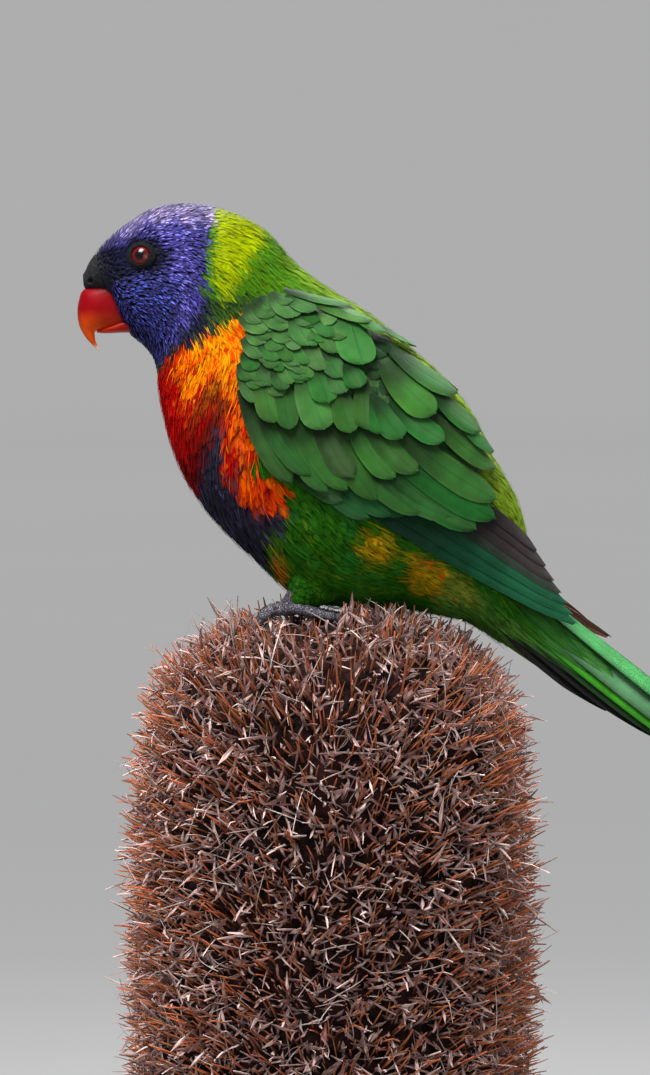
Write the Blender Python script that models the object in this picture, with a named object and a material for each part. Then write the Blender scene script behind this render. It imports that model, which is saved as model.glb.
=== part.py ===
"""Rainbow lorikeet gripping the top of a dry banksia flower spike, life size, as a still display model.

The bird faces -X and its left side faces -Y. Up is +Z. The origin is the centre of the stand's lower face.
Heights in the tables of the bird and the spike are measured from the perch level, where the toes grip.
"""

import math
import random

import bmesh
import bpy
import numpy as np
from mathutils import Matrix, Vector

# Driving dimensions, in metres
GAP = 0.0003
PERCH_LEVEL = 0.178
BASE_RADIUS = 0.078
BASE_HEIGHT = 0.012
BASE_EDGE = 0.002
ROD_RADIUS = 0.008
SPIKE_FOOT = 0.030

# Body rungs, bill to tail: upper outline x and z, lower outline x and z, half width
BODY_RUNGS = (
    (-0.0772, 0.1076, -0.0770, 0.1044, 0.0012),
    (-0.0764, 0.1090, -0.0760, 0.1030, 0.0028),
    (-0.0750, 0.1119, -0.0722, 0.1026, 0.0054),
    (-0.0725, 0.1156, -0.0685, 0.0998, 0.0078),
    (-0.0685, 0.1197, -0.0657, 0.0936, 0.0098),
    (-0.0632, 0.1237, -0.0620, 0.0887, 0.0114),
    (-0.0558, 0.1280, -0.0586, 0.0859, 0.0126),
    (-0.0465, 0.1296, -0.0561, 0.0831, 0.0133),
    (-0.0372, 0.1287, -0.0547, 0.0800, 0.0136),
    (-0.0282, 0.1255, -0.0539, 0.0760, 0.0142),
    (-0.0198, 0.1203, -0.0533, 0.0707, 0.0158),
    (-0.0108, 0.1104, -0.0521, 0.0642, 0.0190),
    (-0.0006, 0.1026, -0.0496, 0.0555, 0.0235),
    (0.0118, 0.0949, -0.0446, 0.0437, 0.0265),
    (0.0251, 0.0840, -0.0363, 0.0319, 0.0280),
    (0.0360, 0.0738, -0.0248, 0.0205, 0.0280),
    (0.0440, 0.0632, -0.0121, 0.0093, 0.0265),
    (0.0493, 0.0518, 0.0025, 0.0053, 0.0240),
    (0.0539, 0.0440, 0.0180, 0.0050, 0.0208),
    (0.0574, 0.0369, 0.0304, 0.0028, 0.0168),
    (0.0596, 0.0290, 0.0403, 0.0008, 0.0135),
    (0.0612, 0.0205, 0.0480, -0.0035, 0.0112),
    (0.0650, 0.0110, 0.0560, -0.0090, 0.0095),
    (0.0775, -0.0031, 0.0707, -0.0186, 0.0080),
    (0.0883, -0.0118, 0.0831, -0.0257, 0.0070),
)
# Rungs that carry the folded wings past the rump, above and beside the tail
WING_REAR_RUNGS = (
    (0.0598, 0.0300, 0.0403, 0.0008, 0.0145),
    (0.0640, 0.0220, 0.0480, -0.0060, 0.0125),
    (0.0720, 0.0120, 0.0610, -0.0150, 0.0112),
    (0.0830, 0.0030, 0.0770, -0.0250, 0.0100),
    (0.0960, -0.0060, 0.0920, -0.0350, 0.0090),
)
WING_REAR_START = 20

# Places along the rungs where the body is parted
CERE_END = 2.2
HEAD_END = 8.5
NECK_END = 10.9
TORSO_END = 19.3
VENT_END = 22.0
TAIL_ROOT_END = 23.0

# Upper and lower bill rungs, root to tip
BILL_UPPER_RUNGS = (
    (-0.0700, 0.1060, -0.0620, 0.0985, 0.0058),
    (-0.0767, 0.1032, -0.0650, 0.0935, 0.0058),
    (-0.0784, 0.0998, -0.0688, 0.0918, 0.0054),
    (-0.0789, 0.0961, -0.0716, 0.0910, 0.0046),
    (-0.0784, 0.0921, -0.0733, 0.0901, 0.0034),
    (-0.0767, 0.0887, -0.0735, 0.0885, 0.0022),
    (-0.0747, 0.0863, -0.0732, 0.0868, 0.0012),
    (-0.0726, 0.0843, -0.0721, 0.0844, 0.0004),
)
BILL_LOWER_RUNGS = (
    (-0.0620, 0.0950, -0.0614, 0.0896, 0.0046),
    (-0.0656, 0.0945, -0.0654, 0.0896, 0.0045),
    (-0.0690, 0.0930, -0.0688, 0.0894, 0.0041),
    (-0.0714, 0.0918, -0.0713, 0.0895, 0.0031),
    (-0.0729, 0.0906, -0.0728, 0.0897, 0.0014),
)

# Eyes and lids
EYE_SIDE_VIEW = (-0.0591, 0.1135)
EYE_RADIUS = 0.0042
EYE_DEPTH = 0.0030
LID_RING_RADIUS = 0.0035
LID_THICKNESS = 0.00065
LID_STEPS = 16
LID_SIDES = 5
EYE_FACETS = (14, 9)
SOCKET_FACETS = (14, 10)
NOSTRIL_SIDE_VIEW = (-0.0747, 0.1057)
NOSTRIL_RADIUS = 0.0008

# Wing pad rungs from shoulder to rump in side view: lower x and z, upper x and z, thickness
PAD_RUNGS = (
    (-0.0262, 0.0860, -0.0225, 0.0965, 0.0014),
    (-0.0248, 0.0704, -0.0130, 0.0990, 0.0030),
    (-0.0177, 0.0558, 0.0009, 0.0950, 0.0033),
    (-0.0053, 0.0446, 0.0164, 0.0862, 0.0030),
    (0.0118, 0.0378, 0.0304, 0.0745, 0.0026),
    (0.0288, 0.0353, 0.0406, 0.0600, 0.0022),
    (0.0412, 0.0353, 0.0453, 0.0471, 0.0014),
)
PAD_CLEARANCE = 0.00065
PAD_STATIONS = 11
PAD_COLUMNS = 8
VANE_THICKNESS = 0.00055

# Tiers of wing feathers in side view: roots from and to, tips through three points
# count, half width, lift at root and at tip, edge tilt, columns
WING_TIERS = {
    "median_coverts": dict(
        roots=((-0.0235, 0.0760), (-0.0020, 0.0860), (0.0165, 0.0760)),
        tips=((-0.0200, 0.0650), (-0.0010, 0.0600), (0.0330, 0.0575)),
        count=7, half_width=0.0048, lifts=(0.0024, 0.0044), tilt=0.0006, columns=2,
    ),
    "greater_coverts": dict(
        roots=((-0.0215, 0.0650), (-0.0010, 0.0640), (0.0230, 0.0600)),
        tips=((-0.0130, 0.0455), (0.0060, 0.0405), (0.0370, 0.0470)),
        count=7, half_width=0.0047, lifts=(0.0016, 0.0035), tilt=0.0006, columns=2,
    ),
    "secondaries": dict(
        roots=((-0.0090, 0.0520), (0.0090, 0.0500), (0.0280, 0.0580)),
        tips=((0.0060, 0.0350), (0.0300, 0.0335), (0.0480, 0.0400)),
        count=7, half_width=0.0043, lifts=(0.0011, 0.0026), tilt=0.0006, columns=2,
    ),
    "scapulars": dict(
        roots=((-0.0075, 0.0965), (0.0060, 0.0900), (0.0180, 0.0830)),
        tips=((0.0050, 0.0775), (0.0240, 0.0655), (0.0430, 0.0570)),
        count=5, half_width=0.0052, lifts=(0.0026, 0.0050), tilt=0.0008, columns=2,
    ),
    "primaries": dict(
        roots=((0.0130, 0.0385), (0.0230, 0.0430), (0.0330, 0.0480)),
        tips=((0.0763, -0.0010), (0.0660, 0.0120), (0.0540, 0.0290)),
        count=7, half_width=0.0027, lifts=(0.0019, 0.0026), tilt=0.0010, columns=2,
    ),
}
NARROW_FEATHER = 0.0030
FAR_PRIMARY_REACH = (0.0110, -0.0050)
FEATHER_POINT = 0.9
POINT_THINNING = 0.6
VANE_STATIONS = (0.0, 0.42, 0.80, 1.0)
VANE_OUTLINE = (0.72, 1.0, 0.88, 0.26)
PRIMARY_STATIONS = (0.0, 0.25, 0.50, 0.75, 0.92, 1.0)
PRIMARY_OUTLINE = (0.90, 1.0, 1.0, 0.90, 0.60, 0.20)

# Tail feathers, central pair first: tip x and z, half width, roll in degrees
TAIL_ROOT_UPPER = (0.0662, 0.0050)
TAIL_ROOT_LOWER = (0.0610, -0.0080)
TAIL_TIPS = (
    (0.1420, -0.0550),
    (0.1335, -0.0517),
    (0.1235, -0.0475),
    (0.1120, -0.0420),
    (0.0990, -0.0350),
    (0.0850, -0.0272),
)
TAIL_HALF_WIDTHS = (0.0047, 0.0044, 0.0042, 0.0040, 0.0038, 0.0036)
TAIL_ROLLS = (20.0, 27.0, 34.0, 41.0, 47.0, 52.0)
TAIL_SIDE_OFFSETS = (0.0036, 0.0049, 0.0054, 0.0058, 0.0061, 0.0064)
CENTRAL_FEATHER_LIFT = 0.0011
TAIL_OUTLINE = (0.75, 0.95, 1.0, 0.85, 0.5, 0.16)
TAIL_STUMP_SHRINK = 0.0008
TAIL_TAPER = 0.25

# Legs and feet: x, distance outward from the leg's own line, z, radius
LEG_LINE_Y = 0.0110
THIGH = ((-0.0050, 0.0, 0.0180, 0.0060), (-0.0095, 0.0, 0.0118, 0.0048), (-0.0128, 0.0, 0.0070, 0.0030))
TARSUS = ((-0.0112, 0.0, 0.0095, 0.0020), (-0.0135, 0.0, 0.0062, 0.0021), (-0.0148, 0.0, 0.0042, 0.0023))
TOES = (
    (
        (-0.0145, 0.0005, 0.0044, 0.0019),
        (-0.0190, 0.0030, 0.0036, 0.0018),
        (-0.0226, 0.0045, 0.0004, 0.0016),
        (-0.0243, 0.0052, -0.0038, 0.0012),
    ),
    (
        (-0.0145, -0.0005, 0.0044, 0.0019),
        (-0.0186, -0.0030, 0.0038, 0.0018),
        (-0.0218, -0.0046, 0.0009, 0.0016),
        (-0.0233, -0.0052, -0.0030, 0.0012),
    ),
    (
        (-0.0145, 0.0008, 0.0042, 0.0019),
        (-0.0095, 0.0034, 0.0042, 0.0018),
        (-0.0035, 0.0048, 0.0028, 0.0016),
        (0.0028, 0.0055, 0.0015, 0.0012),
    ),
    (
        (-0.0145, -0.0008, 0.0042, 0.0019),
        (-0.0105, -0.0032, 0.0040, 0.0017),
        (-0.0060, -0.0044, 0.0028, 0.0015),
        (-0.0020, -0.0050, 0.0013, 0.0012),
    ),
)
CLAW_LENGTH = 0.0062
CLAW_DROP = 0.0030
CLAW_STEPS = (-0.15, 0.35, 0.7, 1.0)
CLAW_ROOT_SHARE = 0.85
CLAW_TAPER = 0.65
HUB_FACETS = (9, 6)

# Banksia spike: radius and height of the packed core, and its bristles.
# Those of the side climb to the shoulder, and the others fill the crown.
CORE_PROFILE = (
    (0.0535, -0.0700),
    (0.0520, -0.0450),
    (0.0490, -0.0280),
    (0.0435, -0.0155),
    (0.0350, -0.0075),
    (0.0250, -0.0028),
    (0.0130, 0.0002),
)
CORE_TOP = 0.0008
BRISTLE_SEED = 11
BRISTLE_COUNT = 330
BRISTLE_LENGTH = 0.0150
BRISTLE_TOP_LENGTH = 0.0095
BRISTLE_SUNK = 0.0045
BRISTLE_RADIUS = 0.0011
BRISTLE_RISE = 0.45
BRISTLE_LENGTH_SPREAD = (0.82, 1.08)
BRISTLE_AIM_SPREAD = (0.16, 0.16, 0.12)
BRISTLE_CHECKS = (0.25, 0.5, 0.75, 1.0)
LOWEST_BRISTLE = 0.006
SIDE_SHARE = 0.80
SIDE_TOP = -0.012
SHOULDER_DEPTH = 0.045
CROWN_RADIUS = 0.044
CROWN_RISE = 1.6
CORE_SIDES = 26
BIRD_CLEARANCE = 0.0011
FOOT_CLEARANCE = 0.0028
GOLDEN_ANGLE = math.pi * (3.0 - math.sqrt(5.0))

# Colours of the sub-parts
VIOLET_BLUE = (0.055, 0.045, 0.32)
COLLAR_GREEN = (0.36, 0.50, 0.02)
BREAST_RED = (0.62, 0.05, 0.01)
BELLY_GREEN = (0.06, 0.16, 0.02)
WING_GREEN = (0.03, 0.17, 0.04)
TAIL_GREEN = (0.02, 0.20, 0.05)
BILL_RED = (0.66, 0.01, 0.01)
CERE_BLACK = (0.02, 0.02, 0.025)
EYE_BLACK = (0.03, 0.006, 0.006)
FOOT_GREY = (0.10, 0.09, 0.11)
SPIKE_BROWN = (0.22, 0.09, 0.05)
BASE_DARK = (0.03, 0.03, 0.032)
ROD_STEEL = (0.55, 0.55, 0.56)


# The form that the body, wings and bill are lofted on
class Ladder:
    """A form given by rungs from its upper to its lower outline, each with a half width, joined smoothly."""

    def __init__(self, rungs):
        self.rungs = np.array(rungs, float)
        self.last = len(rungs) - 1

    def rung(self, t):
        """Middle, unit direction up the rung, half length and half width at place t."""
        i = min(max(int(math.floor(t)), 0), self.last - 1)
        f = t - i
        p0, p1, p2, p3 = (self.rungs[min(max(i + k, 0), self.last)] for k in (-1, 0, 1, 2))
        row = 0.5 * (
            2.0 * p1
            + (p2 - p0) * f
            + (2.0 * p0 - 5.0 * p1 + 4.0 * p2 - p3) * f * f
            + (3.0 * p1 - p0 - 3.0 * p2 + p3) * f * f * f
        )
        top, bottom = row[0:2], row[2:4]
        span = np.linalg.norm(top - bottom)
        return (top + bottom) / 2, (top - bottom) / span, span / 2, row[4]

    def point(self, t, phi, side=-1.0, grow=0.0):
        """Point of the surface: phi is 0 on the upper outline and pi on the lower one."""
        middle, up, half, width = self.rung(t)
        along = middle + up * (half + grow) * math.cos(phi)
        return np.array((along[0], side * (width + grow) * math.sin(phi), PERCH_LEVEL + along[1]))

    def frame(self, t, phi, side=-1.0):
        """Surface point and outward unit normal."""
        step = 0.01
        d_t = self.point(t + step, phi, side) - self.point(t - step, phi, side)
        d_phi = self.point(t, phi + step, side) - self.point(t, phi - step, side)
        normal = np.cross(d_t, d_phi)
        normal /= np.linalg.norm(normal)
        here = self.point(t, phi, side)
        middle = self.rung(t)[0]
        outward = here - np.array((middle[0], 0.0, PERCH_LEVEL + middle[1]))
        return here, normal if np.dot(normal, outward) > 0 else -normal

    def locate(self, x, z):
        """Place t and angle phi of the point that shows at x and z in side view."""
        low, high = 0.0, float(self.last)
        for _ in range(40):
            t = (low + high) / 2
            middle, up, half, _ = self.rung(t)
            ahead = up[0] * (z - middle[1]) - up[1] * (x - middle[0])
            low, high = (t, high) if ahead < 0 else (low, t)
        across = ((x - middle[0]) * up[0] + (z - middle[1]) * up[1]) / half
        return t, math.acos(min(max(across, -0.985), 0.985))

    def holds(self, point, margin):
        """Whether a point lies within the form grown by a margin."""
        x, y, z = point[0], point[1], point[2] - PERCH_LEVEL
        t, _ = self.locate(x, z)
        middle, up, half, width = self.rung(t)
        along = ((x - middle[0]) * up[0] + (z - middle[1]) * up[1]) / (half + margin)
        return along * along + (y / (width + margin)) ** 2 < 1.0


BODY = Ladder(BODY_RUNGS)
WING = Ladder(BODY_RUNGS[:WING_REAR_START] + WING_REAR_RUNGS)
BILL_UPPER = Ladder(BILL_UPPER_RUNGS)
BILL_LOWER = Ladder(BILL_LOWER_RUNGS)


# Mesh helpers
def clear_scene():
    for old in list(bpy.data.objects):
        bpy.data.objects.remove(old, do_unlink=True)


def new_collection(name):
    group = bpy.data.collections.new(name)
    bpy.context.scene.collection.children.link(group)
    return group


def finish(name, color, roughness, metallic=0.0):
    material = bpy.data.materials.new(name)
    material.use_nodes = True
    shader = material.node_tree.nodes["Principled BSDF"]
    shader.inputs["Base Color"].default_value = (*color, 1.0)
    shader.inputs["Roughness"].default_value = roughness
    shader.inputs["Metallic"].default_value = metallic
    return material


def object_of(name, shape, group):
    """Object of a bmesh, with its faces made triangles that point outwards."""
    bmesh.ops.triangulate(shape, faces=shape.faces[:])
    bmesh.ops.recalc_face_normals(shape, faces=shape.faces[:])
    mesh = bpy.data.meshes.new(name)
    shape.to_mesh(mesh)
    shape.free()
    item = bpy.data.objects.new(name, mesh)
    group.objects.link(item)
    return item


def rings_object(name, rings, group):
    """Closed loft through rings of points, with a flat cap at each end."""
    shape = bmesh.new()
    rows = [[shape.verts.new(p) for p in ring] for ring in rings]
    for near, far in zip(rows, rows[1:]):
        for i in range(len(near)):
            j = (i + 1) % len(near)
            shape.faces.new((near[i], near[j], far[j], far[i]))
    shape.faces.new(rows[0])
    shape.faces.new(rows[-1])
    return object_of(name, shape, group)


def ladder_object(name, ladder, start, end, rings, sides, group, grow=0.0, insets=(0.0, 0.0)):
    """Loft of a stretch of a ladder. Its end rings move inwards along the form by the insets."""
    loops = []
    for t in np.linspace(start, end, rings):
        loops.append([ladder.point(t, 2 * math.pi * k / sides, -1.0, grow) for k in range(sides)])
    loops = np.array(loops)
    for index, place, inset in ((0, start, insets[0]), (-1, end, -insets[1])):
        up = ladder.rung(place)[1]
        ahead = ladder.rung(min(place + 0.1, ladder.last))[0] - ladder.rung(max(place - 0.1, 0.0))[0]
        square = np.array((up[1], -up[0]))
        square *= math.copysign(1.0, np.dot(square, ahead))
        loops[index] += np.array((square[0], 0.0, square[1])) * inset
    return rings_object(name, loops, group)


def tube_object(name, path, sides, group):
    """Tapered tube through points (x, y, z, radius)."""
    path = np.array(path, float)
    centres, radii = path[:, :3], path[:, 3]
    tangents = np.gradient(centres, axis=0)
    across = np.cross(tangents[0], (0.0, 0.0, 1.0))
    if np.linalg.norm(across) < 1e-9:
        across = np.array((0.0, 1.0, 0.0))
    loops = []
    for centre, tangent, radius in zip(centres, tangents, radii):
        tangent = tangent / np.linalg.norm(tangent)
        across = across - tangent * np.dot(across, tangent)
        across /= np.linalg.norm(across)
        other = np.cross(tangent, across)
        angles = [2 * math.pi * k / sides for k in range(sides)]
        loops.append([centre + radius * (across * math.cos(a) + other * math.sin(a)) for a in angles])
    return rings_object(name, loops, group)


def ball_object(name, centre, radius, segments, rings, group):
    shape = bmesh.new()
    bmesh.ops.create_uvsphere(shape, u_segments=segments, v_segments=rings, radius=radius)
    bmesh.ops.translate(shape, verts=shape.verts[:], vec=Vector(centre))
    return object_of(name, shape, group)


def vane_object(name, centres, acrosses, normals, widths, thicknesses, columns, group):
    """Flat feather, split into triangles alike on both faces."""
    places = np.linspace(-1.0, 1.0, columns)
    shape = bmesh.new()
    faces = []
    for sign in (0.5, -0.5):
        sheet = []
        for centre, across, normal, width, thick in zip(centres, acrosses, normals, widths, thicknesses):
            sheet.append([shape.verts.new(centre + across * width * s + normal * thick * sign) for s in places])
        faces.append(sheet)
    upper, lower = faces
    stations = len(centres)
    for i in range(stations - 1):
        for j in range(columns - 1):
            for sheet in faces:
                shape.faces.new((sheet[i][j], sheet[i + 1][j], sheet[i + 1][j + 1]))
                shape.faces.new((sheet[i][j], sheet[i + 1][j + 1], sheet[i][j + 1]))
        for j in (0, columns - 1):
            shape.faces.new((upper[i][j], upper[i + 1][j], lower[i + 1][j]))
            shape.faces.new((upper[i][j], lower[i + 1][j], lower[i][j]))
    for i in (0, stations - 1):
        for j in range(columns - 1):
            shape.faces.new((upper[i][j], upper[i][j + 1], lower[i][j + 1]))
            shape.faces.new((upper[i][j], lower[i][j + 1], lower[i][j]))
    return object_of(name, shape, group)


def apply_modifiers(item):
    graph = bpy.context.evaluated_depsgraph_get()
    mesh = bpy.data.meshes.new_from_object(item.evaluated_get(graph))
    item.modifiers.clear()
    old = item.data
    item.data = mesh
    bpy.data.meshes.remove(old)


def keep_largest(item):
    """Leaves only the closed surface that holds the most."""
    shape = bmesh.new()
    shape.from_mesh(item.data)
    unseen = set(shape.faces)
    pieces = []
    while unseen:
        stack = [unseen.pop()]
        piece = []
        while stack:
            face = stack.pop()
            piece.append(face)
            for edge in face.edges:
                for other in edge.link_faces:
                    if other in unseen:
                        unseen.discard(other)
                        stack.append(other)
        pieces.append(piece)
    origin = Vector((0.0, 0.0, 0.0))

    def volume(piece):
        total = 0.0
        for face in piece:
            total += (face.calc_center_median() - origin).dot(face.normal) * face.calc_area()
        return total

    pieces.sort(key=volume)
    for piece in pieces[:-1]:
        bmesh.ops.delete(shape, geom=piece, context="FACES")
    loose = [vertex for vertex in shape.verts if not vertex.link_faces]
    bmesh.ops.delete(shape, geom=loose, context="VERTS")
    bmesh.ops.triangulate(shape, faces=shape.faces[:])
    shape.to_mesh(item.data)
    shape.free()


def unite(item, group, solver="EXACT"):
    """Joins every object of a collection to the item, then removes them and the collection."""
    modifier = item.modifiers.new("Unite", "BOOLEAN")
    modifier.operation = "UNION"
    modifier.operand_type = "COLLECTION"
    modifier.collection = group
    modifier.solver = solver
    apply_modifiers(item)
    for piece in list(group.objects):
        bpy.data.objects.remove(piece, do_unlink=True)
    bpy.data.collections.remove(group)
    keep_largest(item)


def cut(item, cutter):
    """Takes the cutter's space out of the item, then removes the cutter."""
    cutter.hide_render = True
    cutter.display_type = "WIRE"
    modifier = item.modifiers.new("Cut", "BOOLEAN")
    modifier.operation = "DIFFERENCE"
    modifier.object = cutter
    apply_modifiers(item)
    bpy.data.objects.remove(cutter, do_unlink=True)
    keep_largest(item)


def dress(item, material, sharp_angle=35.0):
    item.data.materials.clear()
    item.data.materials.append(material)
    item.data.shade_smooth()
    item.data.set_sharp_from_angle(angle=math.radians(sharp_angle))


def on_side(points, side):
    """Points (x, outward, z, radius) of a leg as world points of the left (-1) or right (1) one."""
    return [(x, side * (LEG_LINE_Y + out), PERCH_LEVEL + z, r) for x, out, z, r in points]


# Head, with lids round the eye sockets
def eye_frame(side):
    place = BODY.locate(*EYE_SIDE_VIEW)
    return BODY.frame(*place, side)


def lid_object(side, group):
    """Ring of the eyelids on the head's surface."""
    surface, normal = eye_frame(side)
    turn = Vector(normal).to_track_quat("Z", "Y").to_matrix()
    rings = []
    for k in range(LID_STEPS):
        angle = 2 * math.pi * k / LID_STEPS
        ring = []
        for m in range(LID_SIDES):
            bend = 2 * math.pi * m / LID_SIDES
            reach = LID_RING_RADIUS + LID_THICKNESS * math.cos(bend)
            local = Vector((reach * math.cos(angle), reach * math.sin(angle), LID_THICKNESS * math.sin(bend)))
            ring.append(Vector(surface) + turn @ local)
        rings.append(ring)
    shape = bmesh.new()
    rows = [[shape.verts.new(p) for p in ring] for ring in rings]
    for near, far in zip(rows, rows[1:] + rows[:1]):
        for i in range(LID_SIDES):
            j = (i + 1) % LID_SIDES
            shape.faces.new((near[i], near[j], far[j], far[i]))
    return object_of("lid", shape, group)


def build_head(parts, scrap):
    head = ladder_object("head", BODY, CERE_END, HEAD_END, 16, 24, parts, insets=(GAP / 2, GAP / 2))
    lids = new_collection("lids")
    for side in (-1.0, 1.0):
        lid_object(side, lids)
    unite(head, lids)
    for side in (-1.0, 1.0):
        surface, normal = eye_frame(side)
        socket = surface - normal * EYE_DEPTH
        cut(head, ball_object("socket", socket, EYE_RADIUS + GAP, *SOCKET_FACETS, scrap))
    dress(head, finish("violet_blue_plumage", VIOLET_BLUE, 0.7))


def build_eyes(parts):
    for name, side in (("eye_left", -1.0), ("eye_right", 1.0)):
        surface, normal = eye_frame(side)
        eye = ball_object(name, surface - normal * EYE_DEPTH, EYE_RADIUS, *EYE_FACETS, parts)
        dress(eye, finish(name + "_gloss", EYE_BLACK, 0.08), 60.0)


def build_cere(parts, scrap):
    cere = ladder_object("cere", BODY, 0.0, CERE_END, 6, 16, parts, insets=(0.0, GAP / 2))
    for side in (-1.0, 1.0):
        surface, _ = BODY.frame(*BODY.locate(*NOSTRIL_SIDE_VIEW), side)
        cut(cere, ball_object("nostril", surface, NOSTRIL_RADIUS, 8, 6, scrap))
    dress(cere, finish("dark_cere", CERE_BLACK, 0.5))


def head_cutter(scrap):
    return ladder_object("face_clearance", BODY, 0.0, HEAD_END - 1.0, 17, 24, scrap, grow=GAP)


def build_bill(parts, scrap):
    """Upper and lower bill. Each is cut back to the face, and the lower one to the upper one's edge."""
    material = finish("red_bill", BILL_RED, 0.3)
    upper = ladder_object("bill_upper", BILL_UPPER, 0.0, BILL_UPPER.last, 14, 12, parts)
    cut(upper, head_cutter(scrap))
    dress(upper, material)
    lower = ladder_object("bill_lower", BILL_LOWER, 0.0, BILL_LOWER.last, 7, 12, parts)
    cut(lower, head_cutter(scrap))
    cut(lower, ladder_object("bill_clearance", BILL_UPPER, 0.0, BILL_UPPER.last, 15, 14, scrap, grow=GAP))
    dress(lower, finish("orange_red_bill", BILL_RED, 0.3))


# Neck, torso and vent
def build_trunk(parts):
    neck = ladder_object("neck", BODY, HEAD_END, NECK_END, 6, 28, parts, insets=(GAP / 2, GAP / 2))
    dress(neck, finish("yellow_green_plumage", COLLAR_GREEN, 0.7))
    torso = ladder_object("torso", BODY, NECK_END, TORSO_END, 17, 30, parts, insets=(GAP / 2, GAP / 2))
    dress(torso, finish("red_breast_plumage", BREAST_RED, 0.7))
    vent = ladder_object("vent", BODY, TORSO_END, VENT_END, 6, 24, parts, insets=(GAP / 2, GAP / 2))
    dress(vent, finish("green_vent_plumage", BELLY_GREEN, 0.7))


# Wings
def through(points, f):
    """Point at fraction f of the curve through three points."""
    a, b, c = (np.array(p) for p in points)
    return a * (1 - f) * (1 - 2 * f) + b * 4 * f * (1 - f) + c * f * (2 * f - 1)


def vane_thicknesses(stations):
    """Thickness at each place along a feather, less at its point."""
    return [VANE_THICKNESS * (1.0 if f < FEATHER_POINT else POINT_THINNING) for f in stations]


def wing_vane(root, tip, tier, side, group):
    """One feather that lies along the wing from its root to its tip, in side view."""
    narrow = tier["half_width"] < NARROW_FEATHER
    stations = PRIMARY_STATIONS if narrow else VANE_STATIONS
    outline = PRIMARY_OUTLINE if narrow else VANE_OUTLINE
    centres = []
    normals = []
    for f in stations:
        x, z = root * (1 - f) + tip * f
        here, normal = WING.frame(*WING.locate(x, z), side)
        lift = tier["lifts"][0] * (1 - f) + tier["lifts"][1] * f
        centres.append(here + normal * lift)
        normals.append(normal)
    centres = np.array(centres)
    tangents = np.gradient(centres, axis=0)
    acrosses = []
    for i, (tangent, normal) in enumerate(zip(tangents, normals)):
        across = np.cross(tangent, normal)
        across /= np.linalg.norm(across)
        leading = -1.0 if np.dot(across, (-0.7, 0.0, -0.7)) < 0 else 1.0
        across = across * leading + normal * tier["tilt"] / tier["half_width"]
        across /= np.linalg.norm(across)
        acrosses.append(across)
        square = np.cross(across, tangent)
        square /= np.linalg.norm(square)
        normals[i] = square * math.copysign(1.0, np.dot(square, normal))
    widths = [tier["half_width"] * w for w in outline]
    vane_object("vane", centres, acrosses, normals, widths, vane_thicknesses(stations), tier["columns"], group)


def pad_object(name, side, group):
    """Pad of the folded wing, from the shoulder to the rump, that its feathers root in."""
    rungs = Ladder(PAD_RUNGS)
    sheets = ([], [])
    for t in np.linspace(0.0, rungs.last, PAD_STATIONS):
        middle, up, half, thick = rungs.rung(t)
        lines = ([], [])
        for v in np.linspace(-1.0, 1.0, PAD_COLUMNS):
            x, z = middle + up * half * v
            here, normal = WING.frame(*WING.locate(x, z), side)
            crown = 0.45 + 0.55 * (1.0 - v * v)
            lines[0].append(here + normal * PAD_CLEARANCE)
            lines[1].append(here + normal * (PAD_CLEARANCE + thick * crown))
        sheets[0].append(lines[0])
        sheets[1].append(lines[1])
    loops = [inner + outer[::-1] for inner, outer in zip(*sheets)]
    return rings_object(name, loops, group)


def build_wing(name, side, parts):
    wing = pad_object(name, side, parts)
    feathers = new_collection(name + "_feathers")
    for title, tier in WING_TIERS.items():
        for i in range(tier["count"]):
            f = i / (tier["count"] - 1)
            root = through(tier["roots"], f)
            tip = through(tier["tips"], f)
            if title == "primaries" and side > 0:
                tip = tip + np.array(FAR_PRIMARY_REACH) * (1 - f)
            wing_vane(root, tip, tier, side, feathers)
    unite(wing, feathers)
    dress(wing, finish(name + "_green", WING_GREEN, 0.6))


# Tail
def build_tail(parts):
    """Twelve graduated feathers, folded like a roof and rooted in a short stump."""
    tail = ladder_object(
        "tail", BODY, VENT_END, TAIL_ROOT_END, 4, 20, parts, grow=-TAIL_STUMP_SHRINK, insets=(GAP / 2, 0.0)
    )
    feathers = new_collection("tail_feathers")
    pairs = len(TAIL_TIPS)
    for pair in range(pairs):
        f = pair / (pairs - 1)
        start = np.array(TAIL_ROOT_UPPER) * (1 - f) + np.array(TAIL_ROOT_LOWER) * f
        end = np.array(TAIL_TIPS[pair])
        direction = (end - start) / np.linalg.norm(end - start)
        upward = np.array((-direction[1], direction[0]))
        roll = math.radians(TAIL_ROLLS[pair])
        for side in (-1.0, 1.0):
            across = np.array((-upward[0] * math.sin(roll), side * math.cos(roll), -upward[1] * math.sin(roll)))
            normal = np.array((upward[0] * math.cos(roll), side * math.sin(roll), upward[1] * math.cos(roll)))
            centres = []
            for s in PRIMARY_STATIONS:
                x, z = start * (1 - s) + end * s
                out = TAIL_SIDE_OFFSETS[pair] * (1.0 - TAIL_TAPER * s)
                lift = CENTRAL_FEATHER_LIFT if pair == 0 and side < 0 else 0.0
                centres.append(np.array((x + upward[0] * lift, side * out, PERCH_LEVEL + z + upward[1] * lift)))
            widths = [TAIL_HALF_WIDTHS[pair] * w for w in TAIL_OUTLINE]
            thicknesses = vane_thicknesses(PRIMARY_STATIONS)
            frames = len(centres)
            vane_object("rectrix", centres, [across] * frames, [normal] * frames, widths, thicknesses, 2, feathers)
    unite(tail, feathers)
    dress(tail, finish("green_tail", TAIL_GREEN, 0.55))


# Legs and feet
def grown(points, extra):
    return [(x, out, z, r + extra) for x, out, z, r in points]


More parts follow.
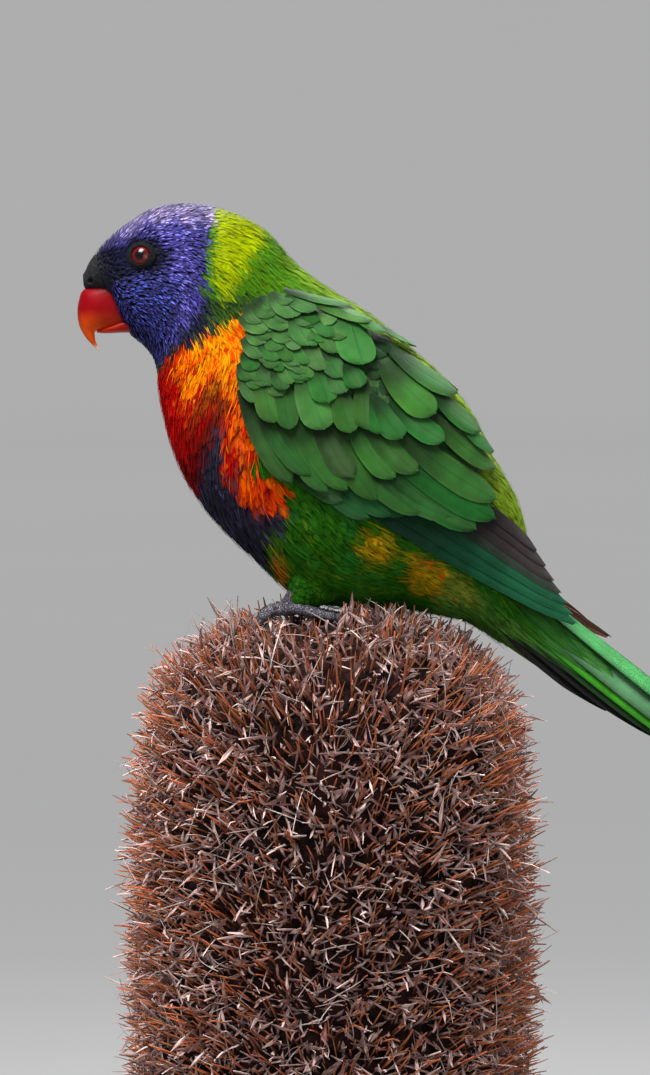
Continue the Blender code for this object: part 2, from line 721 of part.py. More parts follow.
def claw_path(toe):
    """Claw that carries on from a toe's end and curves down."""
    (x0, y0, z0, _), (x1, y1, z1, r1) = toe[-2], toe[-1]
    run = np.array((x1 - x0, y1 - y0, z1 - z0))
    run /= np.linalg.norm(run)
    path = []
    for f in CLAW_STEPS:
        spot = np.array((x1, y1, z1)) + run * CLAW_LENGTH * f
        spot[2] -= CLAW_DROP * max(f, 0.0) ** 2
        path.append((*spot, r1 * (CLAW_ROOT_SHARE - CLAW_TAPER * max(f, 0.0))))
    return path


def ankle_object(name, side, extra, group):
    """Ball at the foot's root, where the tarsus and the toes meet."""
    x, _, z, radius = TARSUS[-1]
    return ball_object(name, (x, side * LEG_LINE_Y, PERCH_LEVEL + z), radius + extra, *HUB_FACETS, group)


def foot_pieces(side, extra, group):
    tube_object("tarsus", on_side(grown(TARSUS, extra), side), 9, group)
    for toe in TOES:
        tube_object("toe", on_side(grown(toe, extra), side), 8, group)
        tube_object("claw", on_side(grown(claw_path(toe), extra), side), 6, group)


def build_legs(parts, scrap):
    skin = finish("grey_foot_scales", FOOT_GREY, 0.6)
    down = finish("green_thigh_plumage", BELLY_GREEN, 0.7)
    for label, side in (("left", -1.0), ("right", 1.0)):
        leg = tube_object("leg_" + label, on_side(THIGH, side), 14, parts)
        cut(leg, ladder_object("belly_clearance", BODY, NECK_END, TORSO_END, 18, 32, scrap, grow=GAP))
        dress(leg, down)
        foot = ankle_object("foot_" + label, side, 0.0, parts)
        pieces = new_collection("foot_pieces")
        foot_pieces(side, 0.0, pieces)
        unite(foot, pieces)
        cut(foot, tube_object("leg_clearance", on_side(grown(THIGH, GAP), side), 14, scrap))
        dress(foot, skin)


# Banksia spike
def core_outline():
    """Core profile from its lower face up to the crown, as radius and world height."""
    lower = SPIKE_FOOT - PERCH_LEVEL
    sides = [(CORE_PROFILE[0][0], lower + (CORE_PROFILE[0][1] - lower) * f) for f in (0.0, 0.5)]
    return sides + list(CORE_PROFILE)


def core_at(height):
    """Radius of the core at a height over the perch level."""
    rows = sorted(core_outline(), key=lambda row: row[1])
    return float(np.interp(height, [z for _, z in rows], [r for r, _ in rows]))


def bristle_object(root, aim, length, turn, group):
    """Three-sided bristle drawn to a point."""
    shape = bmesh.new()
    side = aim.cross(Vector((0.0, 0.0, 1.0)))
    side = side.normalized() if side.length > 0.05 else Vector((1.0, 0.0, 0.0))
    other = aim.cross(side).normalized()
    start = root - aim * BRISTLE_SUNK
    tip = shape.verts.new(root + aim * length)
    row = []
    for k in range(3):
        angle = turn + 2 * math.pi * k / 3
        row.append(shape.verts.new(start + (side * math.cos(angle) + other * math.sin(angle)) * BRISTLE_RADIUS))
    for i in range(3):
        shape.faces.new((row[i], row[(i + 1) % 3], tip))
    shape.faces.new(row)
    object_of("bristle", shape, group)


def clear_of_bird(points):
    for point in points:
        if BODY.holds(point, BIRD_CLEARANCE) or WING.holds(point, BIRD_CLEARANCE):
            return False
        for side in (-1.0, 1.0):
            for toe in TOES + (TARSUS, THIGH):
                for spot in toe + tuple(claw_path(toe)):
                    place = Vector((spot[0], side * (LEG_LINE_Y + spot[1]), PERCH_LEVEL + spot[2]))
                    if (Vector(point) - place).length < spot[3] + FOOT_CLEARANCE:
                        return False
    return True


def build_spike(parts, scrap):
    outline = core_outline()
    rings = []
    for radius, height in outline:
        angles = [2 * math.pi * k / CORE_SIDES for k in range(CORE_SIDES)]
        rings.append([(radius * math.cos(a), radius * math.sin(a), PERCH_LEVEL + height) for a in angles])
    spike = rings_object("perch_spike", rings, parts)
    bristles = new_collection("bristles")
    draw = random.Random(BRISTLE_SEED)
    lowest = SPIKE_FOOT - PERCH_LEVEL + LOWEST_BRISTLE
    for i in range(BRISTLE_COUNT):
        f = (i + 0.5) / BRISTLE_COUNT
        angle = i * GOLDEN_ANGLE
        if f < SIDE_SHARE:
            height = lowest + (SIDE_TOP - lowest) * f / SIDE_SHARE
            radius = core_at(height)
            slope = max(0.0, (height + SHOULDER_DEPTH) / SHOULDER_DEPTH) ** 2
        else:
            radius = CROWN_RADIUS * math.sqrt((1 - f) / (1 - SIDE_SHARE))
            rows = sorted(CORE_PROFILE)
            height = float(np.interp(radius, [0.0] + [r for r, _ in rows], [CORE_TOP] + [z for _, z in rows]))
            slope = 1.0 + CROWN_RISE * (1.0 - radius / CROWN_RADIUS)
        length = BRISTLE_LENGTH if f < SIDE_SHARE else BRISTLE_TOP_LENGTH
        length *= draw.uniform(*BRISTLE_LENGTH_SPREAD)
        aim = Vector((math.cos(angle), math.sin(angle), BRISTLE_RISE + slope))
        aim += Vector([draw.uniform(-spread, spread) for spread in BRISTLE_AIM_SPREAD])
        aim.normalize()
        root = Vector((radius * math.cos(angle), radius * math.sin(angle), PERCH_LEVEL + height))
        turn = draw.uniform(0.0, math.pi)
        reach = [root + aim * length * s for s in BRISTLE_CHECKS]
        if clear_of_bird(reach):
            bristle_object(root, aim, length, turn, bristles)
    unite(spike, bristles)
    for side in (-1.0, 1.0):
        prints = new_collection("footprint")
        hub = ankle_object("hub", side, GAP, scrap)
        foot_pieces(side, GAP, prints)
        unite(hub, prints)
        cut(spike, hub)
    dress(spike, finish("dry_banksia", SPIKE_BROWN, 0.85), 25.0)


# Display stand
def build_stand(parts):
    shape = bmesh.new()
    bmesh.ops.create_cone(
        shape, cap_ends=True, segments=48, radius1=BASE_RADIUS, radius2=BASE_RADIUS, depth=BASE_HEIGHT,
        matrix=Matrix.Translation((0.0, 0.0, BASE_HEIGHT / 2)),
    )
    upper = [edge for edge in shape.edges if all(v.co.z > BASE_HEIGHT - 1e-6 for v in edge.verts)]
    bmesh.ops.bevel(shape, geom=upper, offset=BASE_EDGE, segments=2, profile=0.5, affect="EDGES")
    base = object_of("stand_base", shape, parts)
    dress(base, finish("dark_base", BASE_DARK, 0.35), 50.0)
    low, high = BASE_HEIGHT + GAP, SPIKE_FOOT - GAP
    shape = bmesh.new()
    bmesh.ops.create_cone(
        shape, cap_ends=True, segments=24, radius1=ROD_RADIUS, radius2=ROD_RADIUS, depth=high - low,
        matrix=Matrix.Translation((0.0, 0.0, (low + high) / 2)),
    )
    rod = object_of("stand_rod", shape, parts)
    dress(rod, finish("rod_steel", ROD_STEEL, 0.3, 1.0), 50.0)


def main():
    clear_scene()
    parts = new_collection("rainbow_lorikeet")
    scrap = new_collection("cutters")
    build_cere(parts, scrap)
    build_head(parts, scrap)
    build_eyes(parts)
    build_bill(parts, scrap)
    build_trunk(parts)
    build_wing("wing_left", -1.0, parts)
    build_wing("wing_right", 1.0, parts)
    build_tail(parts)
    build_legs(parts, scrap)
    build_spike(parts, scrap)
    build_stand(parts)


main()
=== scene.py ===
"""Looks of the rainbow lorikeet on a dry banksia spike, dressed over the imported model.

The bird faces -X and its left side faces -Y. Side-view places are x and z in millimetres, with z measured
from the perch level, where the toes grip. Every shape is laid on the same ladders of rungs as the solids.
"""

import logging
import math
from dataclasses import dataclass, field
from enum import Enum

import bmesh
import bpy
import numpy as np
from mathutils import Matrix, Vector

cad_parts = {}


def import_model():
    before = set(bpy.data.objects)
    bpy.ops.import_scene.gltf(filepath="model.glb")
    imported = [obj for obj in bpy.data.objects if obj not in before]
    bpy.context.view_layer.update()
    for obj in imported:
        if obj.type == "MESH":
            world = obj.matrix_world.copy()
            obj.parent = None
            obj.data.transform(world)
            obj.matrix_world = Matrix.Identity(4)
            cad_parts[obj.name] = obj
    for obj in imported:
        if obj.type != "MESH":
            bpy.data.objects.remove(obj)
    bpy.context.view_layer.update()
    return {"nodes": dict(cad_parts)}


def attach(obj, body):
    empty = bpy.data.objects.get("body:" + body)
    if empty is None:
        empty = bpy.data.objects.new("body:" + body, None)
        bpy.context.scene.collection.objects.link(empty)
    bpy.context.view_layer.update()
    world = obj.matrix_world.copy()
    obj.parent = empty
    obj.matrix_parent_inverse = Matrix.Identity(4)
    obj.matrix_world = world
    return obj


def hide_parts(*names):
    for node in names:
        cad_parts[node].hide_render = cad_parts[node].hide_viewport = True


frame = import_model()

LOG = logging.getLogger("lorikeet")

# Driving dimensions, in metres
PERCH_LEVEL = 0.178
MM = 0.001
SEED = 23
TURN = 2.0 * math.pi

# Body rungs, bill to tail: upper outline x and z, lower outline x and z, half width, in millimetres
BODY_RUNGS = (
    (-77.2, 107.6, -77.0, 104.4, 1.2),
    (-76.4, 109.0, -76.0, 103.0, 2.8),
    (-75.0, 111.9, -72.2, 102.6, 5.4),
    (-72.5, 115.6, -68.5, 99.8, 7.8),
    (-68.5, 119.7, -65.7, 93.6, 9.8),
    (-63.2, 123.7, -62.0, 88.7, 11.4),
    (-55.8, 128.0, -58.6, 85.9, 12.6),
    (-46.5, 129.6, -56.1, 83.1, 13.3),
    (-37.2, 128.7, -54.7, 80.0, 13.6),
    (-28.2, 125.5, -53.9, 76.0, 14.2),
    (-19.8, 120.3, -53.3, 70.7, 15.8),
    (-10.8, 110.4, -52.1, 64.2, 19.0),
    (-0.6, 102.6, -49.6, 55.5, 23.5),
    (11.8, 94.9, -44.6, 43.7, 26.5),
    (25.1, 84.0, -36.3, 31.9, 28.0),
    (36.0, 73.8, -24.8, 20.5, 28.0),
    (44.0, 63.2, -12.1, 9.3, 26.5),
    (49.3, 51.8, 2.5, 5.3, 24.0),
    (53.9, 44.0, 18.0, 5.0, 20.8),
    (57.4, 36.9, 30.4, 2.8, 16.8),
    (59.6, 29.0, 40.3, 0.8, 13.5),
    (61.2, 20.5, 48.0, -3.5, 11.2),
    (65.0, 11.0, 56.0, -9.0, 9.5),
    (77.5, -3.1, 70.7, -18.6, 8.0),
    (88.3, -11.8, 83.1, -25.7, 7.0),
)
WING_REAR_RUNGS = (
    (59.8, 30.0, 40.3, 0.8, 14.5),
    (64.0, 22.0, 48.0, -6.0, 12.5),
    (72.0, 12.0, 61.0, -15.0, 11.2),
    (83.0, 3.0, 77.0, -25.0, 10.0),
    (96.0, -6.0, 92.0, -35.0, 9.0),
)
WING_REAR_START = 20
BILL_UPPER_RUNGS = (
    (-70.0, 106.0, -61.4, 98.0, 5.8),
    (-76.7, 103.2, -63.6, 92.3, 5.8),
    (-78.4, 99.8, -67.4, 91.0, 5.4),
    (-78.9, 96.1, -71.0, 90.6, 4.6),
    (-78.4, 92.1, -73.3, 90.1, 3.4),
    (-76.7, 88.7, -73.5, 88.5, 2.2),
    (-74.7, 86.3, -73.2, 86.8, 1.2),
    (-72.6, 84.3, -72.1, 84.4, 0.4),
)
BILL_LOWER_RUNGS = (
    (-61.6, 95.0, -61.2, 89.7, 4.6),
    (-65.2, 94.2, -65.0, 89.7, 4.5),
    (-68.8, 92.6, -68.6, 89.5, 4.1),
    (-71.2, 91.4, -71.1, 89.5, 3.1),
    (-72.9, 90.6, -72.8, 89.7, 1.4),
)
EYE_SIDE_VIEW = (-59.1, 113.5)
NOSTRIL_SIDE_VIEW = (-74.7, 105.7)
CERE_END = 2.2
TRUNK_END = 22.4
FRAME_STEP = 0.01
LOCATE_STEPS = 30
LOCATE_REACH = 0.985


class Side(Enum):
    """Side of the bird, as the sign of y."""

    LEFT = -1
    RIGHT = 1

    @property
    def label(self) -> str:
        """Word for the side in the names of pieces."""
        return self.name.lower()


def world(places: np.ndarray) -> np.ndarray:
    """World points in metres of points in millimetres over the perch level."""
    return places * MM + np.array((0.0, 0.0, PERCH_LEVEL))


def colour(red: float, green: float, blue: float) -> np.ndarray:
    """Linear colour of a screen colour with channels from 0 to 255."""
    share = np.array((red, green, blue), float) / 255.0
    return np.where(share <= 0.04045, share / 12.92, ((share + 0.055) / 1.055) ** 2.4)


def smoothstep(low: float, high: float, value: np.ndarray) -> np.ndarray:
    """Smooth rise from 0 at low to 1 at high."""
    share = np.clip((value - low) / (high - low), 0.0, 1.0)
    return share * share * (3.0 - 2.0 * share)


@dataclass
class Loft:
    """Form lofted over rungs, each an upper and a lower outline point and a half width, in millimetres.

    A place on it is t along the rungs and an angle round it: 0 on the upper outline, half a turn on the lower
    one, negative on the left side.
    """

    rungs: np.ndarray

    def __post_init__(self) -> None:
        """Keeps the rungs as an array."""
        self.rungs = np.array(self.rungs, float)

    @property
    def last(self) -> float:
        """Place of the last rung."""
        return len(self.rungs) - 1.0

    def rows(self, t: np.ndarray) -> tuple:
        """Rungs at places t, joined by smooth curves.

        Args:
            t: Places along the rungs.

        Returns:
            Middles, unit directions up the rungs, half lengths and half widths.
        """
        t = np.asarray(t, float)
        i = np.clip(np.floor(t).astype(int), 0, int(self.last) - 1)
        f = (t - i)[..., None]
        p0, p1, p2, p3 = (self.rungs[np.clip(i + k, 0, int(self.last))] for k in (-1, 0, 1, 2))
        row = 0.5 * (
            2.0 * p1
            + (p2 - p0) * f
            + (2.0 * p0 - 5.0 * p1 + 4.0 * p2 - p3) * f * f
            + (3.0 * p1 - p0 - 3.0 * p2 + p3) * f * f * f
        )
        top, bottom = row[..., 0:2], row[..., 2:4]
        span = np.linalg.norm(top - bottom, axis=-1)
        return (top + bottom) / 2, (top - bottom) / span[..., None], span / 2, row[..., 4]

    def points(self, t: np.ndarray, angle: np.ndarray, grow: np.ndarray | float = 0.0) -> np.ndarray:
        """Points of the surface.

        Args:
            t: Places along the rungs.
            angle: Angles round them.
            grow: Millimetres by which the form is grown outwards.

        Returns:
            The points, in millimetres.
        """
        middle, up, half, width = self.rows(t)
        along = middle + up * ((half + grow) * np.cos(angle))[..., None]
        return np.stack((along[..., 0], (width + grow) * np.sin(angle), along[..., 1]), -1)

    def frames(self, t: np.ndarray, angle: np.ndarray) -> tuple:
        """Surface points with their directions.

        Args:
            t: Places along the rungs.
            angle: Angles round them.

        Returns:
            Points, derivatives by t and by the angle, and outward unit normals.
        """
        step = FRAME_STEP
        d_t = (self.points(t + step, angle) - self.points(t - step, angle)) / (2 * step)
        d_angle = (self.points(t, angle + step) - self.points(t, angle - step)) / (2 * step)
        normal = np.cross(d_t, d_angle)
        normal /= np.maximum(np.linalg.norm(normal, axis=-1, keepdims=True), 1e-9)
        here = self.points(t, angle)
        middle = self.rows(t)[0]
        outward = here - np.stack((middle[..., 0], np.zeros(middle.shape[:-1]), middle[..., 1]), -1)
        facing = np.sign(np.sum(normal * outward, -1, keepdims=True))
        return here, d_t, d_angle, normal * np.where(facing == 0.0, 1.0, facing)

    def locate(self, x: np.ndarray, z: np.ndarray, side: float = -1.0) -> tuple:
        """Places t and angles of the points that show at x and z in side view.

        Args:
            x: Distances along the bird, in millimetres.
            z: Heights over the perch level, in millimetres.
            side: Sign of y of the side that is meant.

        Returns:
            Places along the rungs and angles round them.
        """
        x, z = np.asarray(x, float), np.asarray(z, float)
        low, high = np.zeros_like(x), np.full_like(x, self.last)
        for _ in range(LOCATE_STEPS):
            t = (low + high) / 2
            middle, up, _, _ = self.rows(t)
            behind = up[..., 0] * (z - middle[..., 1]) - up[..., 1] * (x - middle[..., 0]) < 0
            low, high = np.where(behind, t, low), np.where(behind, high, t)
        middle, up, half, _ = self.rows(t)
        across = ((x - middle[..., 0]) * up[..., 0] + (z - middle[..., 1]) * up[..., 1]) / half
        return t, side * np.arccos(np.clip(across, -LOCATE_REACH, LOCATE_REACH))


BODY = Loft(BODY_RUNGS)
WING = Loft(BODY_RUNGS[:WING_REAR_START] + WING_REAR_RUNGS)
BILL_UPPER = Loft(BILL_UPPER_RUNGS)
BILL_LOWER = Loft(BILL_LOWER_RUNGS)


# Meshes
def join_rings(shape: bmesh.types.BMesh, rings: np.ndarray, closed_ends: bool = True) -> None:
    """Adds rings of points to a mesh, joined to a tube.

    Args:
        shape: The mesh.
        rings: Points in millimetres, by ring and place round it.
        closed_ends: Whether the ends get faces.
    """
    rows = [[shape.verts.new(world(p)) for p in ring] for ring in rings]
    for near, far in zip(rows, rows[1:]):
        for i in range(len(near)):
            j = (i + 1) % len(near)
            shape.faces.new((near[i], near[j], far[j], far[i]))
    if closed_ends:
        shape.faces.new(rows[0])
        shape.faces.new(rows[-1])


def finish_shape(shape: bmesh.types.BMesh, name: str) -> bpy.types.Object:
    """Object of a mesh whose faces are turned outwards.

    Args:
        shape: The mesh, which is freed.
        name: The object's name.

    Returns:
        The object.
    """
    bmesh.ops.recalc_face_normals(shape, faces=shape.faces[:])
    mesh = bpy.data.meshes.new(name)
    shape.to_mesh(mesh)
    shape.free()
    mesh.shade_smooth()
    item = bpy.data.objects.new(name, mesh)
    bpy.context.scene.collection.objects.link(item)
    return item


def loft_object(name: str, places: np.ndarray, closed_ends: bool = True) -> bpy.types.Object:
    """Object of rings of points, joined to a tube.

    Args:
        name: Its name.
        places: Points in millimetres, by ring and place round it.
        closed_ends: Whether the ends get faces.

    Returns:
        The object.
    """
    shape = bmesh.new()
    join_rings(shape, places, closed_ends)
    return finish_shape(shape, name)


def weld(item: bpy.types.Object, voxel: float, rounds: int) -> None:
    """Joins an item's overlapping shells to one smooth skin.

    Args:
        item: The item.
        voxel: Size of the skin's cells, in metres.
        rounds: Rounds of smoothing.
    """
    remesh = item.modifiers.new("One skin", "REMESH")
    remesh.mode = "VOXEL"
    remesh.voxel_size = voxel
    apply_modifier(item, remesh)
    smooth = item.modifiers.new("Smooth", "SMOOTH")
    smooth.factor = 0.5
    smooth.iterations = rounds
    apply_modifier(item, smooth)


def deselect_all() -> None:
    """Leaves nothing selected."""
    bpy.ops.object.select_all(action="DESELECT")


def apply_modifier(item: bpy.types.Object, modifier: bpy.types.Modifier) -> None:
    """Applies a modifier of an item.

    Args:
        item: The item.
        modifier: Its modifier.
    """
    deselect_all()
    bpy.context.view_layer.objects.active = item
    item.select_set(True)
    bpy.ops.object.modifier_apply(modifier=modifier.name)
    item.select_set(False)


def settle(item: bpy.types.Object, name: str, slot: str, *replaced: str) -> bpy.types.Object:
    """Names a piece, sets it on the model's body and lets it stand for nodes.

    Args:
        item: The piece.
        name: Its name.
        slot: Material slot of the record for the piece's finish; not used.
        *replaced: Nodes that it stands for.

    Returns:
        The piece.
    """
    item.name = name
    item.data.name = name
    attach(item, "root")
    if replaced:
        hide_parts(*replaced)
    LOG.info("%s: %d faces", name, len(item.data.polygons))
    return item


def paint(mesh: bpy.types.Mesh, title: str, tones: np.ndarray) -> None:
    """Writes a colour for each point of a mesh.

    Args:
        mesh: The mesh.
        title: Name of the attribute.
        tones: The colours.
    """
    layer = mesh.attributes.new(title, "FLOAT_COLOR", "POINT")
    rgba = np.concatenate((np.clip(tones, 0.0, 1.0), np.ones((len(tones), 1))), 1)
    layer.data.foreach_set("color", rgba.astype(np.float32).ravel())


@dataclass
class Sheaf:
    """Arrays of one mesh that is joined from many copies of a shape."""

    places: list = field(default_factory=list)
    faces: list = field(default_factory=list)
    vane_maps: list = field(default_factory=list)
    bake_maps: list = field(default_factory=list)
    tints: list = field(default_factory=list)
    accents: list = field(default_factory=list)
    count: int = 0

    def add(self, places: np.ndarray, faces: np.ndarray, vane: np.ndarray, bake: np.ndarray,
            tint: np.ndarray, accent: np.ndarray) -> None:
        """Adds copies of a shape.

        Args:
            places: Points of each copy, in millimetres.
            faces: Corners of one copy's four-sided faces.
            vane: Map of one copy, across and along it.
            bake: Map of each copy's points for the bake.
            tint: Base colour of each copy, or of each of its points.
            accent: Second colour of each copy, or of each of its points.
        """
        copies, size = places.shape[:2]
        offsets = self.count + size * np.arange(copies)
        self.places.append(places.reshape(-1, 3))
        self.faces.append((faces[None] + offsets[:, None, None]).reshape(-1, faces.shape[1]))
        self.vane_maps.append(np.broadcast_to(vane, (copies, size, 2)).reshape(-1, 2))
        self.bake_maps.append(bake.reshape(-1, 2))
        for kept, given in ((self.tints, tint), (self.accents, accent)):
            given = given[:, None] if given.ndim == 2 else given
            kept.append(np.broadcast_to(given, (copies, size, 3)).reshape(-1, 3))
        self.count += copies * size

    def build(self, name: str, material: bpy.types.Material, sharp_angle: float = 50.0) -> bpy.types.Object:
        """Makes the object.

        Args:
            name: Its name.
            material: Its material.
            sharp_angle: Angle in degrees from which an edge is sharp.

        Returns:
            The object.
        """
        places = world(np.concatenate(self.places))
        faces = np.concatenate(self.faces)
        mesh = bpy.data.meshes.new(name)
        mesh.vertices.add(len(places))
        mesh.vertices.foreach_set("co", places.astype(np.float32).ravel())
        mesh.loops.add(faces.size)
        mesh.loops.foreach_set("vertex_index", faces.astype(np.int32).ravel())
        mesh.polygons.add(len(faces))
        mesh.polygons.foreach_set("loop_start", np.arange(0, faces.size, faces.shape[1], dtype=np.int32))
        mesh.update(calc_edges=True)
        corners = faces.ravel()
        for title, source in (("OFBake", self.bake_maps), ("Vane", self.vane_maps)):
            layer = mesh.uv_layers.new(name=title)
            layer.uv.foreach_set("vector", np.concatenate(source)[corners].astype(np.float32).ravel())
        for title, source in (("Tint", self.tints), ("Accent", self.accents)):
            paint(mesh, title, np.concatenate(source))
        mesh.validate()
        mesh.shade_smooth()
        mesh.set_sharp_from_angle(angle=math.radians(sharp_angle))
        mesh.materials.append(material)
        item = bpy.data.objects.new(name, mesh)
        bpy.context.scene.collection.objects.link(item)
        return item


@dataclass
class Vane:
    """Shape of one feather, modelled once: half widths along it, its camber and its frayed edge."""

    outline: tuple
    columns: int = 4
    rows: int = 6
    thickness: float = 0.12
    camber: float = 0.10
    fray: float = 0.0
    tip_start: float = 0.72
    tip_powers: tuple = (2.0, 0.5)
    crowding: float = 1.6
    seed: int = 1
    tip_closing: float = 0.97
    fray_start: float = 0.35
    places: np.ndarray = None
    faces: np.ndarray = None
    vane: np.ndarray = None

    def __post_init__(self) -> None:
        """Models the shape from a grid and keeps its arrays."""
        deselect_all()
        bpy.ops.mesh.primitive_grid_add(x_subdivisions=self.columns, y_subdivisions=self.rows, size=2.0)
        item = bpy.context.object
        draw = np.random.default_rng(self.seed)
        flat = np.array([v.co for v in item.data.vertices])
        along = 1.0 - (1.0 - (flat[:, 1] + 1.0) / 2.0) ** self.crowding
        width = np.interp(along, np.linspace(0.0, 1.0, len(self.outline)), self.outline)
        closing = np.clip((along - self.tip_start) / (1.0 - self.tip_start), 0.0, 1.0)
        width = width * (1.0 - self.tip_closing * closing ** self.tip_powers[0]) ** self.tip_powers[1]
        across = flat[:, 0] * width
        ragged = self.fray * draw.random(len(flat)) * smoothstep(self.fray_start, 1.0, along)
        flat_map = np.stack((flat[:, 0] * 0.5 + 0.5, along), -1)
        shaped = np.stack((across, along - ragged, -self.camber * flat[:, 0] ** 2), -1)
        for vertex, place in zip(item.data.vertices, shaped):
            vertex.co = place
        layer = item.data.uv_layers.new(name="Vane")
        for loop in item.data.loops:
            layer.data[loop.index].uv = flat_map[loop.vertex_index]
        solid = item.modifiers.new("Thickness", "SOLIDIFY")
        solid.thickness = self.thickness
        solid.offset = -1.0
        apply_modifier(item, solid)
        self.places = np.array([v.co for v in item.data.vertices])
        self.faces = np.array([tuple(p.vertices) for p in item.data.polygons])
        self.vane = np.concatenate((flat_map, flat_map))
        bpy.data.objects.remove(item, do_unlink=True)


PATCH = 0.003
MAP_EDGE = 0.02


def bake_places(along: np.ndarray, around: np.ndarray, vane: np.ndarray) -> np.ndarray:
    """Places of small feathers in the bake's map, each a patch at its root's place on the unwrapped form.

    Args:
        along: Place of each root along the form, from 0 to 1.
        around: Place of each root round the form, from 0 to 1.
        vane: Map of one feather.

    Returns:
        Places of each feather's points.
    """
    corner = MAP_EDGE + (1.0 - 2.0 * MAP_EDGE) * np.stack((along, around), -1)
    return corner[:, None] + (vane[None] - 0.5) * PATCH


def lay(form: Loft, shape: Vane, t: np.ndarray, angle: np.ndarray, length: np.ndarray, width: np.ndarray,
        turn: np.ndarray, root_height: np.ndarray, tip_height: np.ndarray, curl: float = 0.0) -> tuple:
    """Lays feathers on a form, each bent to the surface under it.

    Args:
        form: The form that they lie on.
        shape: The feather's shape.
        t: Place of each root along the form.
        angle: Angle of each root round the form.
        length: Length of each feather.
        width: Half width of each feather.
        turn: Turn of each feather from the run of the form, in radians.
        root_height: Height of each root over the surface.
        tip_height: Height of each tip over the surface.
        curl: Share of the length by which tips bend towards the surface again.

    Returns:
        Points of each copy, and their places on the map for the bake.
    """
    _, d_t, d_angle, _ = form.frames(t, angle)
    along_scale = np.linalg.norm(d_t, axis=-1)
    run = d_t / along_scale[:, None]
    around = d_angle - run * np.sum(d_angle * run, -1, keepdims=True)
    around_scale = np.linalg.norm(around, axis=-1)
    skew = np.sum(d_angle * run, -1)
    a = shape.places[None, :, 0] * width[:, None]
    b = shape.places[None, :, 1] * length[:, None]
    cos_turn, sin_turn = np.cos(turn)[:, None], np.sin(turn)[:, None]
    forward = b * cos_turn - a * sin_turn
    sideways = b * sin_turn + a * cos_turn
    d_round = sideways / around_scale[:, None]
    spot_angle = angle[:, None] + d_round
    spot_t = t[:, None] + (forward - d_round * skew[:, None]) / along_scale[:, None]
    spot_t = np.clip(spot_t, -0.4, form.last + 0.4)
    here, _, _, normal = form.frames(spot_t, spot_angle)
    share = shape.places[None, :, 1]
    height = root_height[:, None] * (1 - share) + tip_height[:, None] * share
    height = height + shape.places[None, :, 2] * width[:, None] - curl * length[:, None] * share ** 3
    places = here + normal * height[..., None]
    return places, bake_places(np.clip(t / form.last, 0.0, 1.0), angle / TURN + 0.5, shape.vane)


# Markings
def distance_to(outline: np.ndarray, x: np.ndarray, z: np.ndarray) -> np.ndarray:
    """Signed distances to a closed outline in side view, positive inside it.

    Args:
        outline: Corners of the outline.
        x: Distances along the bird.
        z: Heights over the perch level.

    Returns:
        The distances, in millimetres.
    """
    nearest = np.full(np.shape(x), 1e9)
    inside = np.zeros(np.shape(x), bool)
    for (x0, z0), (x1, z1) in zip(outline, np.roll(outline, -1, axis=0)):
        dx, dz = x1 - x0, z1 - z0
        share = np.clip(((x - x0) * dx + (z - z0) * dz) / (dx * dx + dz * dz), 0.0, 1.0)
        nearest = np.minimum(nearest, np.hypot(x - x0 - share * dx, z - z0 - share * dz))
        crosses = (z0 > z) != (z1 > z)
        at = x0 + (z - z0) * dx / (dz if dz else 1e-9)
        inside ^= crosses & (x < at)
    return np.where(inside, nearest, -nearest)


def ripple(x: np.ndarray, y: np.ndarray, z: np.ndarray, scale: float, seed: float) -> np.ndarray:
    """Smooth unevenness in space.

    Args:
        x: Distances along the bird, in millimetres.
        y: Distances across it.
        z: Heights.
        scale: Size of the unevenness, in millimetres.
        seed: Number that shifts its pattern.

    Returns:
        Numbers from -1 to 1.
    """
    a = np.sin(x / scale * 2.1 + seed) + np.sin(z / scale * 2.7 + 1.7 * seed + 0.8 * np.sin(x / scale))
    b = np.sin((x + z) / scale * 3.9 + 2.3 * seed) + np.sin((y - x + 0.6 * z) / scale * 3.1 + 0.9 * seed)
    return (a + b) / 4.0


# Outlines of the markings in side view
HEAD_BLUE = np.array((
    (-90, 90), (-90, 140), (-36.5, 136), (-39.5, 126), (-41, 118), (-41.5, 108), (-42.0, 101),
    (-46.2, 94.7), (-50.8, 89), (-54.0, 83), (-62, 78),
), float)
COLLAR = np.array((
    (-40.5, 134), (-25, 127), (-24.2, 120), (-29.0, 112), (-32.5, 105), (-36.3, 102.0), (-38.0, 106),
    (-39.0, 112), (-38.5, 120),
), float)
THROAT_DARK = np.array((
    (-46, 106), (-37.5, 102.5), (-32, 104), (-25, 103.5), (-27.6, 97.0), (-37, 93), (-47.3, 87),
    (-53.3, 80.5), (-58, 86),
), float)
BREAST = np.array((
    (-52.8, 81.5), (-47.3, 87.6), (-37, 93.3), (-28, 98.0), (-20, 95), (-19, 74), (-19, 60), (-24, 46),
    (-32, 42), (-42, 36), (-54, 40), (-62, 70),
), float)
BELLY_DARK = np.array((
    (-33, 64), (-28, 62), (-24, 50), (-19, 40), (-14, 36), (-17, 30), (-21.5, 25), (-20, 8), (-28, 8),
    (-48, 34), (-49, 42), (-42, 42), (-38, 52),
), float)
SIDE_TONGUES = (
    np.array(((-31, 62), (-26.5, 60), (-25.6, 52), (-29.5, 44), (-32, 46)), float),
    np.array(((-27, 50), (-21, 50), (-13, 41.5), (-17, 36), (-25, 37), (-28, 42)), float),
)
UNDERTAIL = np.array(((34, 18), (47, 8), (60, -6), (56, -16), (38, -4), (28, 2)), float)
GOLD_FLECKS = (
    np.array(((8, 31), (17, 27), (17, 20), (10, 18), (6, 24)), float),
    np.array(((19, 24), (30, 20), (42, 12), (44, 5), (30, 8), (20, 13)), float),
    np.array(((-20.5, 27), (-17.5, 26), (-14.5, 12), (-18.5, 15)), float),
)
